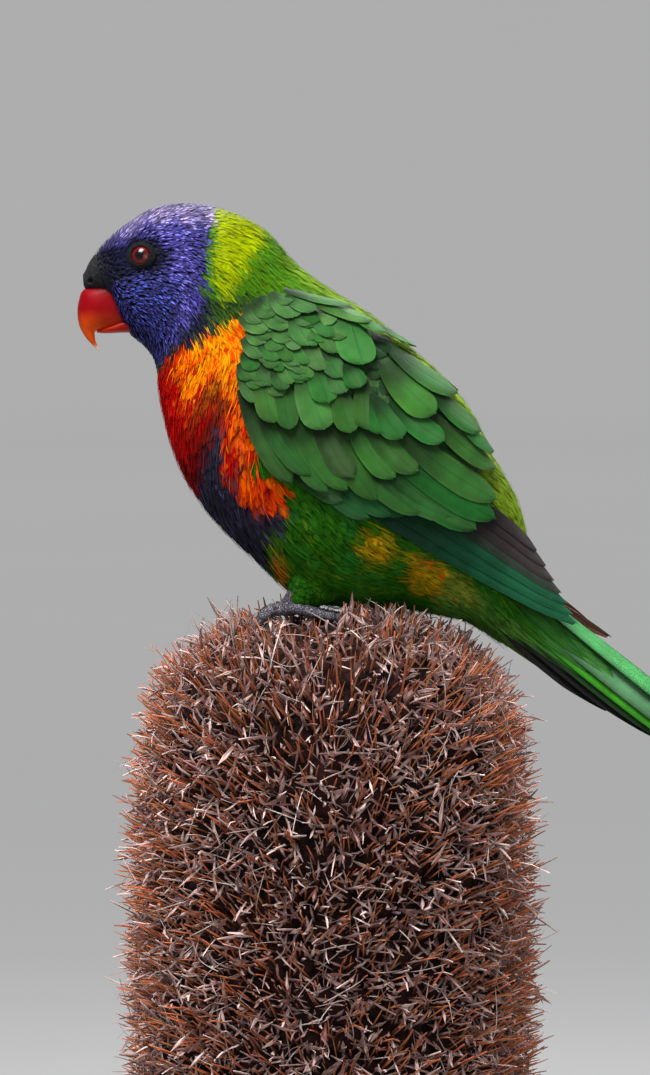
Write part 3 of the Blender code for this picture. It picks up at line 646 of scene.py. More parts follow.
LORES = np.array((
    (-78, 104), (-77, 110), (-73, 114), (-66, 116), (-62.0, 118.0), (-56, 118.2), (-52.2, 114.5),
    (-53.5, 110.0), (-57.5, 107.9), (-64, 107.5), (-69, 105.0), (-70, 103.6),
), float)
MAROON_ZONE = np.array((
    (-35, 78), (-29, 72), (-28.5, 58), (-33, 46), (-42, 40), (-46, 46), (-43, 60), (-38, 70),
), float)
FRONT_HEIGHTS = (36.0, 40.9, 54.3, 64.5, 76.9, 90.0)
FRONT_PLACES = (-40.0, -42.5, -48.0, -51.5, -53.9, -52.0)

VIOLET = colour(60, 54, 142)
VIOLET_BRIGHT = colour(148, 134, 254)
CHEEK_BLUE = colour(92, 112, 250)
NAVY = colour(22, 22, 62)
LILAC = colour(208, 188, 222)
BLACKISH = colour(5, 6, 42)
COLLAR_YELLOW = colour(142, 158, 0)
NAPE_GREEN = colour(76, 128, 12)
BODY_GREEN = colour(34, 88, 10)
LEAF_GREEN = colour(30, 96, 26)
UNDER_GREEN = colour(50, 112, 46)
UNDER_LIGHT = colour(96, 150, 60)
TRAIL_GREEN = colour(46, 118, 38)
TRAIL_LIGHT = colour(86, 152, 80)
THROAT_LIGHT = colour(58, 90, 30)
BACK_LIME = colour(128, 156, 34)
DARK_GREEN = colour(32, 52, 22)
SLATE = colour(26, 28, 42)
RED = colour(178, 6, 4)
ORANGE = colour(232, 70, 0)
YELLOW = colour(248, 152, 0)
MAROON = colour(84, 2, 10)
BELLY_BLUE = colour(46, 44, 60)
BELLY_VIOLET = colour(108, 104, 156)
OLIVE = colour(112, 118, 18)
GOLD = colour(200, 150, 10)


def blend(base: np.ndarray, over: np.ndarray, share: np.ndarray) -> np.ndarray:
    """Mixes colours.

    Args:
        base: Colours where the share is 0.
        over: Colours where the share is 1.
        share: Share of the second colours.

    Returns:
        The mixed colours.
    """
    share = np.asarray(share)[..., None]
    return base * (1.0 - share) + over * share


@dataclass
class Markings:
    """Markings of the plumage at points of the body, each painted over those before it."""

    places: np.ndarray
    unevenness: np.ndarray

    def __post_init__(self) -> None:
        """Starts from the green of the body."""
        self.x, y, self.z = (self.places[..., k] for k in range(3))
        self.wave = ripple(self.x, y, self.z, 7.0, 0.4)
        self.fine = ripple(self.x, y, self.z, 2.6, 2.2)
        beside, down = 0.86 * self.x - 0.51 * self.z + 0.2 * y, 0.51 * self.x + 0.86 * self.z
        broad = np.sin(beside * 1.1 + 1.1 * np.sin(down * 0.13))
        narrow = np.sin(beside * 2.3 + 1.3 * np.sin(down * 0.11 + 2.0))
        self.streaks = 0.5 * (broad + narrow)
        self.upper = BODY.locate(self.x, self.z)[1]
        base = np.broadcast_to(BODY_GREEN, self.places.shape)
        self.tint = blend(base, LEAF_GREEN, smoothstep(-0.2, 0.8, self.wave + 0.4 * self.unevenness))
        lights = smoothstep(0.0, 1.0, self.fine + 0.5 * self.unevenness) * 0.5
        self.accent = blend(self.tint * 1.5, COLLAR_YELLOW * 0.7, lights)

    def within(self, outline: np.ndarray, soft: float = 0.8) -> np.ndarray:
        """Share of an outline's marking at each place, with an edge of the given softness in millimetres."""
        inside = distance_to(outline, self.x, self.z) + 0.9 * self.unevenness + 0.8 * self.fine
        return smoothstep(-soft, soft, inside)

    def mark(self, share: np.ndarray, tint: np.ndarray, accent: np.ndarray,
             strength: tuple = (1.0, 1.0)) -> None:
        """Paints one marking.

        Args:
            share: Its share at each place.
            tint: Its base colours.
            accent: Its second colours.
            strength: Factors of the share, for the base and for the second colours.
        """
        self.tint = blend(self.tint, tint, share * strength[0])
        self.accent = blend(self.accent, accent, share * strength[1])

    def paint_upper_side(self) -> None:
        """Paints the nape, the back, the rump, the gold flecks and the undertail."""
        x, z, turned = self.x, self.z, np.abs(self.upper)
        # The lime along the top of the back and on the rump is partly plumage colour and partly a painted
        # highlight of the lit upper outline
        back = smoothstep(0.75, 0.15, turned) * smoothstep(-30.0, 0.0, x)
        neck = smoothstep(10.0, -6.0, x) * smoothstep(80.0, 96.0, z)
        rump = smoothstep(1.5, 0.5, turned) * smoothstep(22.0, 42.0, x) * smoothstep(14.0, 24.0, z)
        self.tint = blend(self.tint, NAPE_GREEN, neck)
        self.tint = blend(self.tint, BACK_LIME, np.maximum(back * 0.45, rump * 0.7))
        lime_and_highlight = np.maximum(np.maximum(back, rump), 0.15 * neck)
        self.accent = blend(self.accent, BACK_LIME * 1.15, lime_and_highlight)
        for outline in GOLD_FLECKS:
            gold = 0.45 + 0.55 * smoothstep(-0.4, 0.6, self.fine + self.unevenness)
            light = blend(GOLD, ORANGE, smoothstep(0.2, 0.9, self.wave + self.unevenness * 0.6))
            self.mark(self.within(outline, 1.6) * gold, GOLD * 0.7, light, (0.75, 1.0))
        self.mark(self.within(UNDERTAIL, 2.0), blend(UNDER_GREEN, OLIVE, 0.3), UNDER_LIGHT, (0.8, 0.6))
        trail = smoothstep(46.0, 62.0, x) * smoothstep(6.0, -4.0, z)
        self.mark(trail, TRAIL_GREEN, TRAIL_LIGHT, (0.85, 0.7))

    def paint_breast(self) -> None:
        """Paints the dark throat and the breast, red with orange and yellow streaks."""
        x, z, streaks = self.x, self.z, self.streaks
        slate = smoothstep(-36.0, -43.0, x)
        dark, light = blend(DARK_GREEN, SLATE, slate), blend(THROAT_LIGHT, SLATE * 1.6, slate)
        self.mark(self.within(THROAT_DARK, 2.2), dark, light)
        inwards = x - np.interp(z, FRONT_HEIGHTS, FRONT_PLACES) + 3.4 * streaks + 0.8 * self.unevenness
        high = smoothstep(66.0, 84.0, z + 4.0 * streaks)
        warm = blend(RED, ORANGE, smoothstep(1.0, 6.0, inwards - 11.0 * (1.0 - high)))
        sunny = smoothstep(5.5, 11.5, inwards) * (0.15 + 0.85 * high) * smoothstep(-0.7, 0.2, streaks)
        warm = blend(warm, YELLOW, sunny)
        warm = blend(warm, RED * 0.85, smoothstep(0.35, 0.8, -streaks) * smoothstep(92.0, 78.0, z) * 0.75)
        dim = distance_to(MAROON_ZONE, x, z) + 4.5 * streaks - 0.6 + 0.6 * self.unevenness
        dim = smoothstep(-3.0, 2.5, dim)
        warm = blend(warm, MAROON, dim * 0.9)
        glow = smoothstep(0.3, 0.9, streaks) * smoothstep(7.0, 12.0, inwards) * (0.3 + 0.7 * high)
        bright = blend(warm * 1.15, YELLOW, 0.45 * glow)
        self.mark(self.within(BREAST, 0.9), warm * 0.9, blend(bright, warm, dim))

    def paint_belly(self) -> None:
        """Paints the blue belly, the tongues beside it and the collar."""
        # The lighter violet in the belly's second colours is partly plumage colour and partly a painted sheen
        lights = smoothstep(0.35, 1.0, 0.7 * self.streaks + 0.5 * self.unevenness)
        self.mark(self.within(BELLY_DARK, 1.3), BELLY_BLUE * 0.8, blend(BELLY_BLUE, BELLY_VIOLET, lights))
        for outline, hue in zip(SIDE_TONGUES, (RED, ORANGE)):
            tint = blend(RED, hue, smoothstep(-0.5, 0.6, self.unevenness))
            light = blend(hue, YELLOW, 0.5 * smoothstep(0.0, 0.8, self.fine + self.unevenness))
            self.mark(self.within(outline), tint, light)
        self.mark(self.within(COLLAR, 0.9), COLLAR_YELLOW, COLLAR_YELLOW * 1.12)

    def paint_head(self) -> None:
        """Paints the head, violet with lilac on the crown and blue on the cheeks, and the dark lores."""
        x, z = self.x, self.z
        # The lilac on the top of the head is partly plumage colour and partly a painted highlight of the lit
        # crown
        crown = smoothstep(0.62, 0.97, np.cos(self.upper) + 0.12 * self.fine) * smoothstep(-76.0, -60.0, x)
        throat = smoothstep(100.0, 86.0, z + 2.0 * self.wave)
        hind = smoothstep(-50.0, -41.0, x + 2.0 * self.unevenness) * (1.0 - crown)
        cheek = smoothstep(112.0, 104.0, z) * smoothstep(-46.0, -54.0, x)
        shaded = np.maximum(throat, hind)
        tint = blend(VIOLET * 0.5, NAVY * 0.7, np.maximum(cheek, shaded * 0.8))
        tint = blend(tint, LILAC * 0.45, crown * 0.6)
        lively = smoothstep(-0.1, 0.8, self.unevenness + 0.5 * self.fine)
        accent = blend(blend(VIOLET_BRIGHT, CHEEK_BLUE, cheek), VIOLET, shaded * 0.7)
        accent = blend(accent, LILAC * 1.1, crown * 0.9)
        self.mark(self.within(HEAD_BLUE, 0.5), tint, blend(VIOLET * 0.7, accent, 0.1 + 0.9 * lively))
        self.mark(self.within(LORES, 0.7), BLACKISH, BLACKISH * 1.6)


def plumage(places: np.ndarray, unevenness: np.ndarray) -> tuple:
    """Colours of the plumage.

    Args:
        places: Points in millimetres over the perch level.
        unevenness: A number from -1 to 1 for each, which moves it across the edges of the markings.

    Returns:
        Base colours and second colours.
    """
    markings = Markings(places, unevenness)
    markings.paint_upper_side()
    markings.paint_breast()
    markings.paint_belly()
    markings.paint_head()
    return markings.tint, markings.accent


def lie_turn(places: np.ndarray, angle: np.ndarray) -> np.ndarray:
    """Turn of the feathers from the run of the body, towards the belly's middle line, on the breast.

    Args:
        places: Roots in millimetres over the perch level.
        angle: Angles of the roots round the body.

    Returns:
        Turns in radians.
    """
    x, z = places[:, 0], places[:, 2]
    breast = smoothstep(-16.0, -26.0, x) * smoothstep(92.0, 80.0, z) * smoothstep(20.0, 42.0, z)
    flank = np.abs(np.sin(angle)) ** 0.7
    return 0.8 * np.sign(angle) * breast * flank


# Materials
GROUP_INPUTS = {
    "Streak Width": 0.5, "Streak Start": 0.3, "Streak": 1.0, "Barbs": 26.0, "Barb Depth": 0.2, "Slant": 7.0,
    "Shaft": 0.8, "Edge": 1.0, "Root": 0.4, "Root End": 0.5,
}


def opaque(tone: tuple) -> tuple:
    """Colour with full opacity."""
    return (*tone, 1.0)


@dataclass
class Tree:
    """Short hand for adding linked nodes to a node tree."""

    tree: bpy.types.NodeTree

    def feed(self, node: bpy.types.Node, inputs: dict) -> None:
        """Sets or links inputs of a node.

        Args:
            node: The node.
            inputs: Values or output sockets of its inputs, by name or number.
        """
        for key, value in inputs.items():
            if isinstance(value, bpy.types.NodeSocket):
                self.tree.links.new(value, node.inputs[key])
            else:
                node.inputs[key].default_value = value

    def add(self, kind: str, inputs: dict | None = None, **settings: object) -> bpy.types.Node:
        """Adds a node.

        Args:
            kind: Its type.
            inputs: Values or output sockets of its inputs, by name or number.
            **settings: Its properties.

        Returns:
            The node.
        """
        node = self.tree.nodes.new(kind)
        for key, value in settings.items():
            setattr(node, key, value)
        self.feed(node, inputs or {})
        return node

    def math(self, operation: str, *values: object) -> bpy.types.NodeSocket:
        """Result of a math operation on values or sockets."""
        return self.add("ShaderNodeMath", dict(enumerate(values)), operation=operation).outputs[0]

    def ramp(self, value: object, low: float, high: float, start: float = 0.0,
             end: float = 1.0) -> bpy.types.NodeSocket:
        """Smooth clamped change from start at low to end at high."""
        inputs = {"Value": value, "From Min": low, "From Max": high, "To Min": start, "To Max": end}
        return self.add("ShaderNodeMapRange", inputs, interpolation_type="SMOOTHSTEP").outputs[0]

    def mix(self, share: object, first: object, second: object,
            blend_type: str = "MIX") -> bpy.types.NodeSocket:
        """Mix of two colours."""
        inputs = {0: share, 6: first, 7: second}
        return self.add("ShaderNodeMix", inputs, data_type="RGBA", blend_type=blend_type).outputs[2]

    def place(self) -> bpy.types.NodeSocket:
        """Object coordinates."""
        return self.add("ShaderNodeTexCoord").outputs["Object"]

    def noise(self, scale: float, detail: float = 3.0,
              vector: bpy.types.NodeSocket | None = None) -> bpy.types.NodeSocket:
        """Noise from 0 to 1 on object coordinates, or on the given ones."""
        inputs = {"Vector": vector or self.place(), "Scale": scale, "Detail": detail}
        return self.add("ShaderNodeTexNoise", inputs).outputs[0]

    def waver(self, noise: bpy.types.NodeSocket, size: float) -> bpy.types.NodeSocket:
        """Noise moved to lie round 0 and scaled to a size."""
        return self.math("MULTIPLY", self.math("SUBTRACT", noise, 0.5), size)

    def from_floor(self, share: bpy.types.NodeSocket, floor: object) -> bpy.types.NodeSocket:
        """Share from 0 to 1 that is squeezed to run from a floor to 1."""
        return self.math("ADD", self.math("MULTIPLY", share, self.math("SUBTRACT", 1.0, floor)), floor)


@dataclass
class Paint:
    """A new material with its shader."""

    name: str

    def __post_init__(self) -> None:
        """Makes the material."""
        self.material = bpy.data.materials.new(self.name)
        self.material.use_nodes = True
        self.tree = Tree(self.material.node_tree)
        self.shader = self.material.node_tree.nodes["Principled BSDF"]

    def finish(self, tone: bpy.types.NodeSocket, height: bpy.types.NodeSocket | None = None,
               relief: float = 0.0, **inputs: object) -> bpy.types.Material:
        """Feeds the shader.

        Args:
            tone: Its base colour.
            height: Height of the relief, where it has one.
            relief: Depth of the relief, in metres.
            **inputs: Its other inputs, with lines for the spaces in their names.

        Returns:
            The material.
        """
        given = {"Base Color": tone} | {key.replace("_", " "): value for key, value in inputs.items()}
        if height is not None:
            raised = {"Height": height, "Distance": relief}
            given["Normal"] = self.tree.add("ShaderNodeBump", raised).outputs[0]
        self.tree.feed(self.shader, given)
        return self.material


def barb_group() -> bpy.types.NodeTree:
    """Makes the node group of one feather: shaft streak, shaft, barbs, edge and shaded root.

    Returns:
        The group.
    """
    group = bpy.data.node_groups.new("feather_barbs", "ShaderNodeTree")
    kinds = {"Tint": "NodeSocketColor", "Accent": "NodeSocketColor", "Vane": "NodeSocketVector"}
    for title in (*kinds, *GROUP_INPUTS):
        kind = kinds.get(title, "NodeSocketFloat")
        socket = group.interface.new_socket(title, in_out="INPUT", socket_type=kind)
        if title in GROUP_INPUTS:
            socket.default_value = GROUP_INPUTS[title]
    for title, kind in (("Color", "NodeSocketColor"), ("Height", "NodeSocketFloat")):
        group.interface.new_socket(title, in_out="OUTPUT", socket_type=kind)
    tree = Tree(group)
    put = tree.add("NodeGroupInput").outputs
    apart = tree.add("ShaderNodeSeparateXYZ", {0: put["Vane"]})
    u, v = apart.outputs[0], apart.outputs[1]
    side = tree.math("ABSOLUTE", tree.math("MULTIPLY", tree.math("SUBTRACT", u, 0.5), 2.0))
    grain = tree.noise(420.0, 4.0)
    loose = tree.math("ADD", side, tree.waver(grain, 0.5))
    beside = tree.ramp(tree.math("DIVIDE", loose, put["Streak Width"]), 0.3, 1.0)
    begun = tree.ramp(tree.math("SUBTRACT", v, put["Streak Start"]), 0.0, 0.35)
    streak = tree.math("MULTIPLY", tree.math("SUBTRACT", 1.0, beside), begun)
    tone = tree.mix(tree.math("MULTIPLY", streak, put["Streak"]), put["Tint"], put["Accent"])
    run = tree.math("ADD", tree.math("MULTIPLY", v, put["Barbs"]), tree.math("MULTIPLY", side, put["Slant"]))
    run = tree.math("ADD", run, tree.math("MULTIPLY", grain, 1.2))
    wave = tree.math("SINE", tree.math("MULTIPLY", run, 6.2832))
    wave = tree.math("ADD", tree.math("MULTIPLY", wave, 0.5), 0.5)
    total = tree.math("SUBTRACT", 1.0, tree.math("MULTIPLY", wave, put["Barb Depth"]))
    shaft = tree.ramp(side, 0.03, 0.10)
    border = tree.ramp(side, 0.72, 0.98)
    edge_tone = tree.math("ADD", tree.math("MULTIPLY", border, tree.math("SUBTRACT", put["Edge"], 1.0)), 1.0)
    root = tree.ramp(tree.math("DIVIDE", v, put["Root End"]), 0.25, 1.0)
    patchy = tree.ramp(tree.noise(160.0, 2.0), 0.3, 0.7, 0.82, 1.14)
    shaft_tone, root_tone = tree.from_floor(shaft, put["Shaft"]), tree.from_floor(root, put["Root"])
    for share in (shaft_tone, edge_tone, root_tone, patchy):
        total = tree.math("MULTIPLY", total, share)
    grey = tree.add("ShaderNodeCombineColor", {0: total, 1: total, 2: total}).outputs[0]
    groove = tree.math("MULTIPLY", tree.math("SUBTRACT", 1.0, shaft), 0.8)
    rise = tree.math("ADD", tree.math("MULTIPLY", wave, 0.35), groove)
    tree.add("NodeGroupOutput", {"Color": tree.mix(1.0, tone, grey, "MULTIPLY"), "Height": rise})
    return group


@dataclass(frozen=True)
class FeatherFinish:
    """Finish of a kind of feather. Fields up to root_end are the inputs of the barb pattern."""

    name: str
    streak_width: float = 0.5
    streak_start: float = 0.3
    streak: float = 1.0
    barbs: float = 26.0
    barb_depth: float = 0.2
    slant: float = 7.0
    shaft: float = 0.85
    edge: float = 1.0
    root: float = 0.4
    root_end: float = 0.5
    roughness: float = 0.62
    sheen: float = 0.15
    relief: float = 0.00012
    specular: float = 0.3

    def make(self) -> bpy.types.Material:
        """Makes the material of this finish.

        Returns:
            The material.
        """
        paint_kit = Paint(self.name)
        tree = paint_kit.tree
        given = {title: getattr(self, title.lower().replace(" ", "_")) for title in GROUP_INPUTS}
        for title in ("Tint", "Accent"):
            given[title] = tree.add("ShaderNodeAttribute", attribute_name=title).outputs["Color"]
        given["Vane"] = tree.add("ShaderNodeUVMap", uv_map="Vane").outputs[0]
        group = bpy.data.node_groups.get("feather_barbs") or barb_group()
        pattern = tree.add("ShaderNodeGroup", given, node_tree=group).outputs
        return paint_kit.finish(
            pattern["Color"], pattern["Height"], self.relief, Roughness=self.roughness,
            Sheen_Weight=self.sheen, Sheen_Roughness=0.4, Specular_IOR_Level=self.specular,
        )


@dataclass(frozen=True)
class GrainFinish:
    """Finish with two colours mixed by noise, and a grain in relief."""

    name: str
    dark: tuple
    light: tuple
    scale: float = 300.0
    detail: float = 5.0
    roughness: float = 0.5
    relief: float = 0.0002
    relief_scale: float = 900.0
    metallic: float = 0.0
    coat: float = 0.0
    stretch: tuple = (1.0, 1.0, 1.0)
    tinted: bool = False
    specular: float = 0.5
    glow: float = 0.0

    def make(self) -> bpy.types.Material:
        """Makes the material of this finish.

        Returns:
            The material.
        """
        paint_kit = Paint(self.name)
        tree = paint_kit.tree
        place = tree.add("ShaderNodeMapping", {"Vector": tree.place(), "Scale": self.stretch}).outputs[0]
        share = tree.ramp(tree.noise(self.scale, self.detail, place), 0.32, 0.68)
        tones = [opaque(self.dark), opaque(self.light)]
        if self.tinted:
            tint = tree.add("ShaderNodeAttribute", attribute_name="Tint").outputs["Color"]
            tones = [tree.mix(1.0, tint, tone, "MULTIPLY") for tone in tones]
        grain = tree.noise(self.scale * 1.7, 3.0, place)
        return paint_kit.finish(
            tree.mix(share, *tones), tree.noise(self.relief_scale, 6.0, place), self.relief,
            Roughness=tree.ramp(grain, 0.3, 0.7, self.roughness * 0.85, self.roughness * 1.15),
            Metallic=self.metallic, Emission_Color=(1.0, 1.0, 1.0, 1.0), Emission_Strength=self.glow,
            Specular_IOR_Level=self.specular, Coat_Weight=self.coat, Coat_Roughness=0.15,
        )


def dress(item: bpy.types.Object, finish: object) -> bpy.types.Object:
    """Gives an item one material.

    Args:
        item: The item.
        finish: Its finish.

    Returns:
        The item.
    """
    item.data.materials.clear()
    item.data.materials.append(finish.make())
    return item


# Skin
@dataclass
class Skin:
    """One skin under the coat, from the cere's edge to the tail's root, with both thighs."""

    depth_head: float = 0.7
    depth_body: float = 1.5
    least_depth: float = 0.35
    rings: int = 150
    sides: int = 96
    thigh: tuple = ((-4.0, 11.0, 18.0, 5.4), (-6.5, 11.0, 12.0, 4.6), (-8.5, 11.0, 8.4, 3.2))
    thigh_sides: int = 20
    thigh_share: float = 0.9
    voxel: float = 0.0009
    finish: GrainFinish = GrainFinish(
        "skin_down", (0.25, 0.25, 0.25), (0.6, 0.6, 0.6), scale=500.0, roughness=0.9, relief=0.0004,
        relief_scale=1400.0, tinted=True,
    )

    def depth(self, t: np.ndarray) -> np.ndarray:
        """Depth of the skin under the coat's surface at places t."""
        deep = self.depth_head + (self.depth_body - self.depth_head) * smoothstep(7.5, 11.5, t)
        return deep * smoothstep(CERE_END - 0.2, CERE_END + 1.2, t) + self.least_depth

    def build(self) -> None:
        """Makes the skin of the trunk with the thighs joined to it, with the plumage's markings, darker."""
        t = np.linspace(CERE_END + 0.02, TRUNK_END, self.rings)
        angle = np.linspace(-math.pi, math.pi, self.sides, endpoint=False)
        t_grid, angle_grid = np.meshgrid(t, angle, indexing="ij")
        shape = bmesh.new()
        join_rings(shape, BODY.points(t_grid, angle_grid, -self.depth(t_grid)))
        for side in Side:
            join_rings(shape, self.thigh_rings(side))
        item = finish_shape(shape, "skin")
        weld(item, self.voxel, 4)
        places = np.zeros(len(item.data.vertices) * 3, np.float32)
        item.data.vertices.foreach_get("co", places)
        places = (places.reshape(-1, 3).astype(float) - (0.0, 0.0, PERCH_LEVEL)) / MM
        paint(item.data, "Tint", plumage(places, np.zeros(len(places)))[0])
        item.data.shade_smooth()
        dress(item, self.finish)
        settle(item, "skin", "belly_plumage", "head", "neck", "torso", "vent", "leg_left", "leg_right")

    def thigh_rings(self, side: Side) -> np.ndarray:
        """Rings of one thigh.

        Args:
            side: Its side.

        Returns:
            Points by ring and place round it, in millimetres.
        """
        path = np.array(self.thigh) * np.array((1.0, side.value, 1.0, 1.0))
        path = np.vstack((2.0 * path[0] - path[1], path))
        angle = TURN * np.arange(self.thigh_sides) / self.thigh_sides
        reach = path[:, 3:4] * self.thigh_share
        x, y = path[:, 0:1] + reach * np.cos(angle), path[:, 1:2] + reach * np.sin(angle)
        return np.stack((x, y, np.broadcast_to(path[:, 2:3], x.shape)), -1)
# Coat
@dataclass(frozen=True)
class Region:
    """Stretch of the coat: from and to along the body, feather sizes in millimetres and how it lies."""

    name: str
    slot: str
    start: float
    end: float
    length: tuple
    width: tuple
    step: float
    lift: float
    finish: FeatherFinish
    outline: tuple = (0.55, 0.95, 1.0, 0.95)
    columns: int = 3
    rows: int = 4
    fray: float = 0.22
    wander: float = 0.12
    under_wing: bool = False
    side: int = 0
    root_height: float = -1.1
    thickness: float = 0.10
    tip_start: float = 0.6
    tip_powers: tuple = (1.8, 0.6)
    tone: tuple = (0.78, 1.14)
    uneven: float = 1.0


THIGH = Loft((
    (4.0, 25.0, -12.0, 23.0, 4.0),
    (5.5, 16.0, -13.6, 15.0, 4.8),
    (4.5, 10.6, -13.6, 10.0, 4.8),
    (1.5, 7.4, -13.4, 6.6, 4.0),
    (-4.0, 5.6, -11.6, 5.0, 2.4),
))
SEEN_SHARE = 0.4
LONG_ENOUGH = 6.0
SHAPES = 4
EYE_BARE = 3.9
EYE_DEPTH = 6.0
NOSTRIL_BARE = 2.2
UNDER_WING = 4.0
THIGH_LINE = 10.6
THIGH_FEATHERS = 1100
WING_COVER = np.array((
    (-27, 97), (-22, 102), (0, 99), (22, 86), (34, 70), (42, 54), (46, 41), (51, 31), (64, 12), (56, 6),
    (34, 20), (14, 33), (-2, 42), (-12, 44), (-19, 50), (-24, 60), (-28, 75), (-28, 90),
), float)


def hidden_by_wing(places: np.ndarray) -> np.ndarray:
    """Whether places of the trunk lie well under the folded wing."""
    return distance_to(WING_COVER, places[..., 0], places[..., 2]) > UNDER_WING


def distance_in_view(places: np.ndarray, spot: tuple) -> np.ndarray:
    """Distances in side view of places from a spot."""
    return np.hypot(places[..., 0] - spot[0], places[..., 2] - spot[1])


@dataclass
class Coat:
    """Small feathers of the head, neck, breast, belly, back and undertail."""

    draw: np.random.Generator = field(default_factory=lambda: np.random.default_rng(SEED))

    def roots(self, region: Region) -> tuple:
        """Roots of a region's feathers, spread evenly over the body.

        Args:
            region: The region.

        Returns:
            Places along the body and angles round it.
        """
        edges = [np.linspace(region.start, region.end, 90), np.linspace(-math.pi, math.pi, 145)]
        middles = [(edge[1:] + edge[:-1]) / 2 for edge in edges]
        t_cell, a_cell = (edge[1] - edge[0] for edge in edges)
        t_grid, a_grid = (grid.ravel() for grid in np.meshgrid(*middles, indexing="ij"))
        _, d_t, d_angle, _ = BODY.frames(t_grid, a_grid)
        area = np.linalg.norm(np.cross(d_t, d_angle), axis=-1)
        area *= t_cell * a_cell
        wanted = area / region.step ** 2
        carried = np.floor(np.cumsum(wanted) + self.draw.random()).astype(int)
        copies = np.diff(np.concatenate(([0], carried)))
        t = np.repeat(t_grid, copies) + self.draw.uniform(-0.5, 0.5, copies.sum()) * t_cell
        angle = np.repeat(a_grid, copies) + self.draw.uniform(-0.5, 0.5, copies.sum()) * a_cell
        return t, angle

    def sizes(self, region: Region, t: np.ndarray, places: np.ndarray) -> np.ndarray:
        """Relative sizes of feathers, smallest at the bill and round the eye.

        Args:
            region: Their region.
            t: Places of their roots along the body.
            places: Their roots, in millimetres.

        Returns:
            The sizes.
        """
        size = self.draw.uniform(0.82, 1.18, len(t))
        if region.slot == "head_plumage":
            size = size * (0.38 + 0.62 * smoothstep(CERE_END - 0.8, CERE_END + 4.0, t))
        x, z = places[:, 0], places[:, 2]
        over_thigh = smoothstep(28.0, 14.0, z) * smoothstep(-26.0, -16.0, x) * smoothstep(12.0, 0.0, x)
        size = size * (1.0 + 0.55 * over_thigh)
        return size * (0.5 + 0.5 * smoothstep(4.0, 9.0, distance_in_view(places, EYE_SIDE_VIEW)))

    def build_region(self, region: Region) -> bpy.types.Object:
        """Makes the feathers of one region.

        Args:
            region: The region.

        Returns:
            The piece.
        """
        t, angle = self.roots(region)
        angle = (angle + math.pi) % TURN - math.pi
        places = BODY.points(t, angle)
        near_eye = distance_in_view(places, EYE_SIDE_VIEW)
        use = ~((near_eye < EYE_BARE) & (np.abs(places[:, 1]) > EYE_DEPTH))
        use &= (t > CERE_END) | (distance_in_view(places, NOSTRIL_SIDE_VIEW) > NOSTRIL_BARE)
        if region.side:
            use &= np.sign(angle) == region.side
        if not region.under_wing:
            use &= ~hidden_by_wing(places)
        t, angle, places = t[use], angle[use], places[use]
        size = self.sizes(region, t, places)
        count = len(t)
        length = self.draw.uniform(*region.length, count) * size
        width = self.draw.uniform(*region.width, count) * size
        seen = places
        if region.length[0] > LONG_ENOUGH or region.columns == 1:
            speed = np.linalg.norm(BODY.frames(t, angle)[1], axis=-1)
            throat = smoothstep(72.0, 88.0, places[:, 2]) * smoothstep(-10.0, -24.0, places[:, 0])
            ahead = SEEN_SHARE * (1.0 - throat) * length / speed
            seen = BODY.points(np.minimum(t + ahead, BODY.last), angle)
        tint, accent = plumage(seen, self.draw.uniform(-1.0, 1.0, count) * region.uneven)
        tone = self.draw.uniform(*region.tone, (count, 1))
        turn = self.draw.normal(0.0, region.wander, count) + lie_turn(places, angle)
        kind = self.draw.integers(0, SHAPES, count)
        sheaf = Sheaf()
        for number in range(SHAPES):
            shape = Vane(
                region.outline, region.columns, region.rows, region.thickness, fray=region.fray,
                tip_start=region.tip_start, tip_powers=region.tip_powers, crowding=1.3, seed=number + 3,
            )
            pick = kind == number
            spots, bake = lay(
                BODY, shape, t[pick], angle[pick], length[pick], width[pick], turn[pick],
                np.full(pick.sum(), region.root_height), region.lift * size[pick], 0.02,
            )
            sheaf.add(spots, shape.faces, shape.vane, bake, (tint * tone)[pick], (accent * tone)[pick])
        item = sheaf.build(region.name, region.finish.make())
        return settle(item, region.name, region.slot)

    def build_thigh(self, side: Side) -> None:
        """Makes the feathers that hang over one thigh.

        Args:
            side: Side of the thigh.
        """
        t = self.draw.uniform(0.0, THIGH.last - 0.5, THIGH_FEATHERS)
        angle = self.draw.uniform(-math.pi, math.pi, THIGH_FEATHERS)
        shape = Vane((0.55, 0.95, 1.0, 0.95), 2, 4, 0.1, fray=0.22, tip_start=0.6, tip_powers=(1.8, 0.6))
        spots, bake = lay(
            THIGH, shape, t, angle, self.draw.uniform(8.0, 12.0, len(t)), self.draw.uniform(0.9, 1.4, len(t)),
            self.draw.normal(0.0, 0.12, len(t)) - 0.75 * np.sin(angle), np.full(len(t), -0.6),
            self.draw.uniform(0.2, 0.8, len(t)), 0.02,
        )
        spots = spots + (0.0, side.value * THIGH_LINE, 0.0)
        tint, accent = plumage(spots[:, 0], self.draw.uniform(-1.0, 1.0, len(t)))
        # Tones of 0.6 to 0.98 darken the thigh feathers as painted shade on the underside
        tone = self.draw.uniform(0.6, 0.98, (len(t), 1))
        sheaf = Sheaf()
        sheaf.add(spots, shape.faces, shape.vane, bake, tint * tone, accent * tone)
        name = "coat_thigh_" + side.label
        settle(sheaf.build(name, BODY_FEATHER.make()), name, "belly_plumage")

    def build(self) -> None:
        """Makes every region's feathers and those of the thighs."""
        for region in REGIONS:
            self.build_region(region)
        for side in Side:
            self.build_thigh(side)


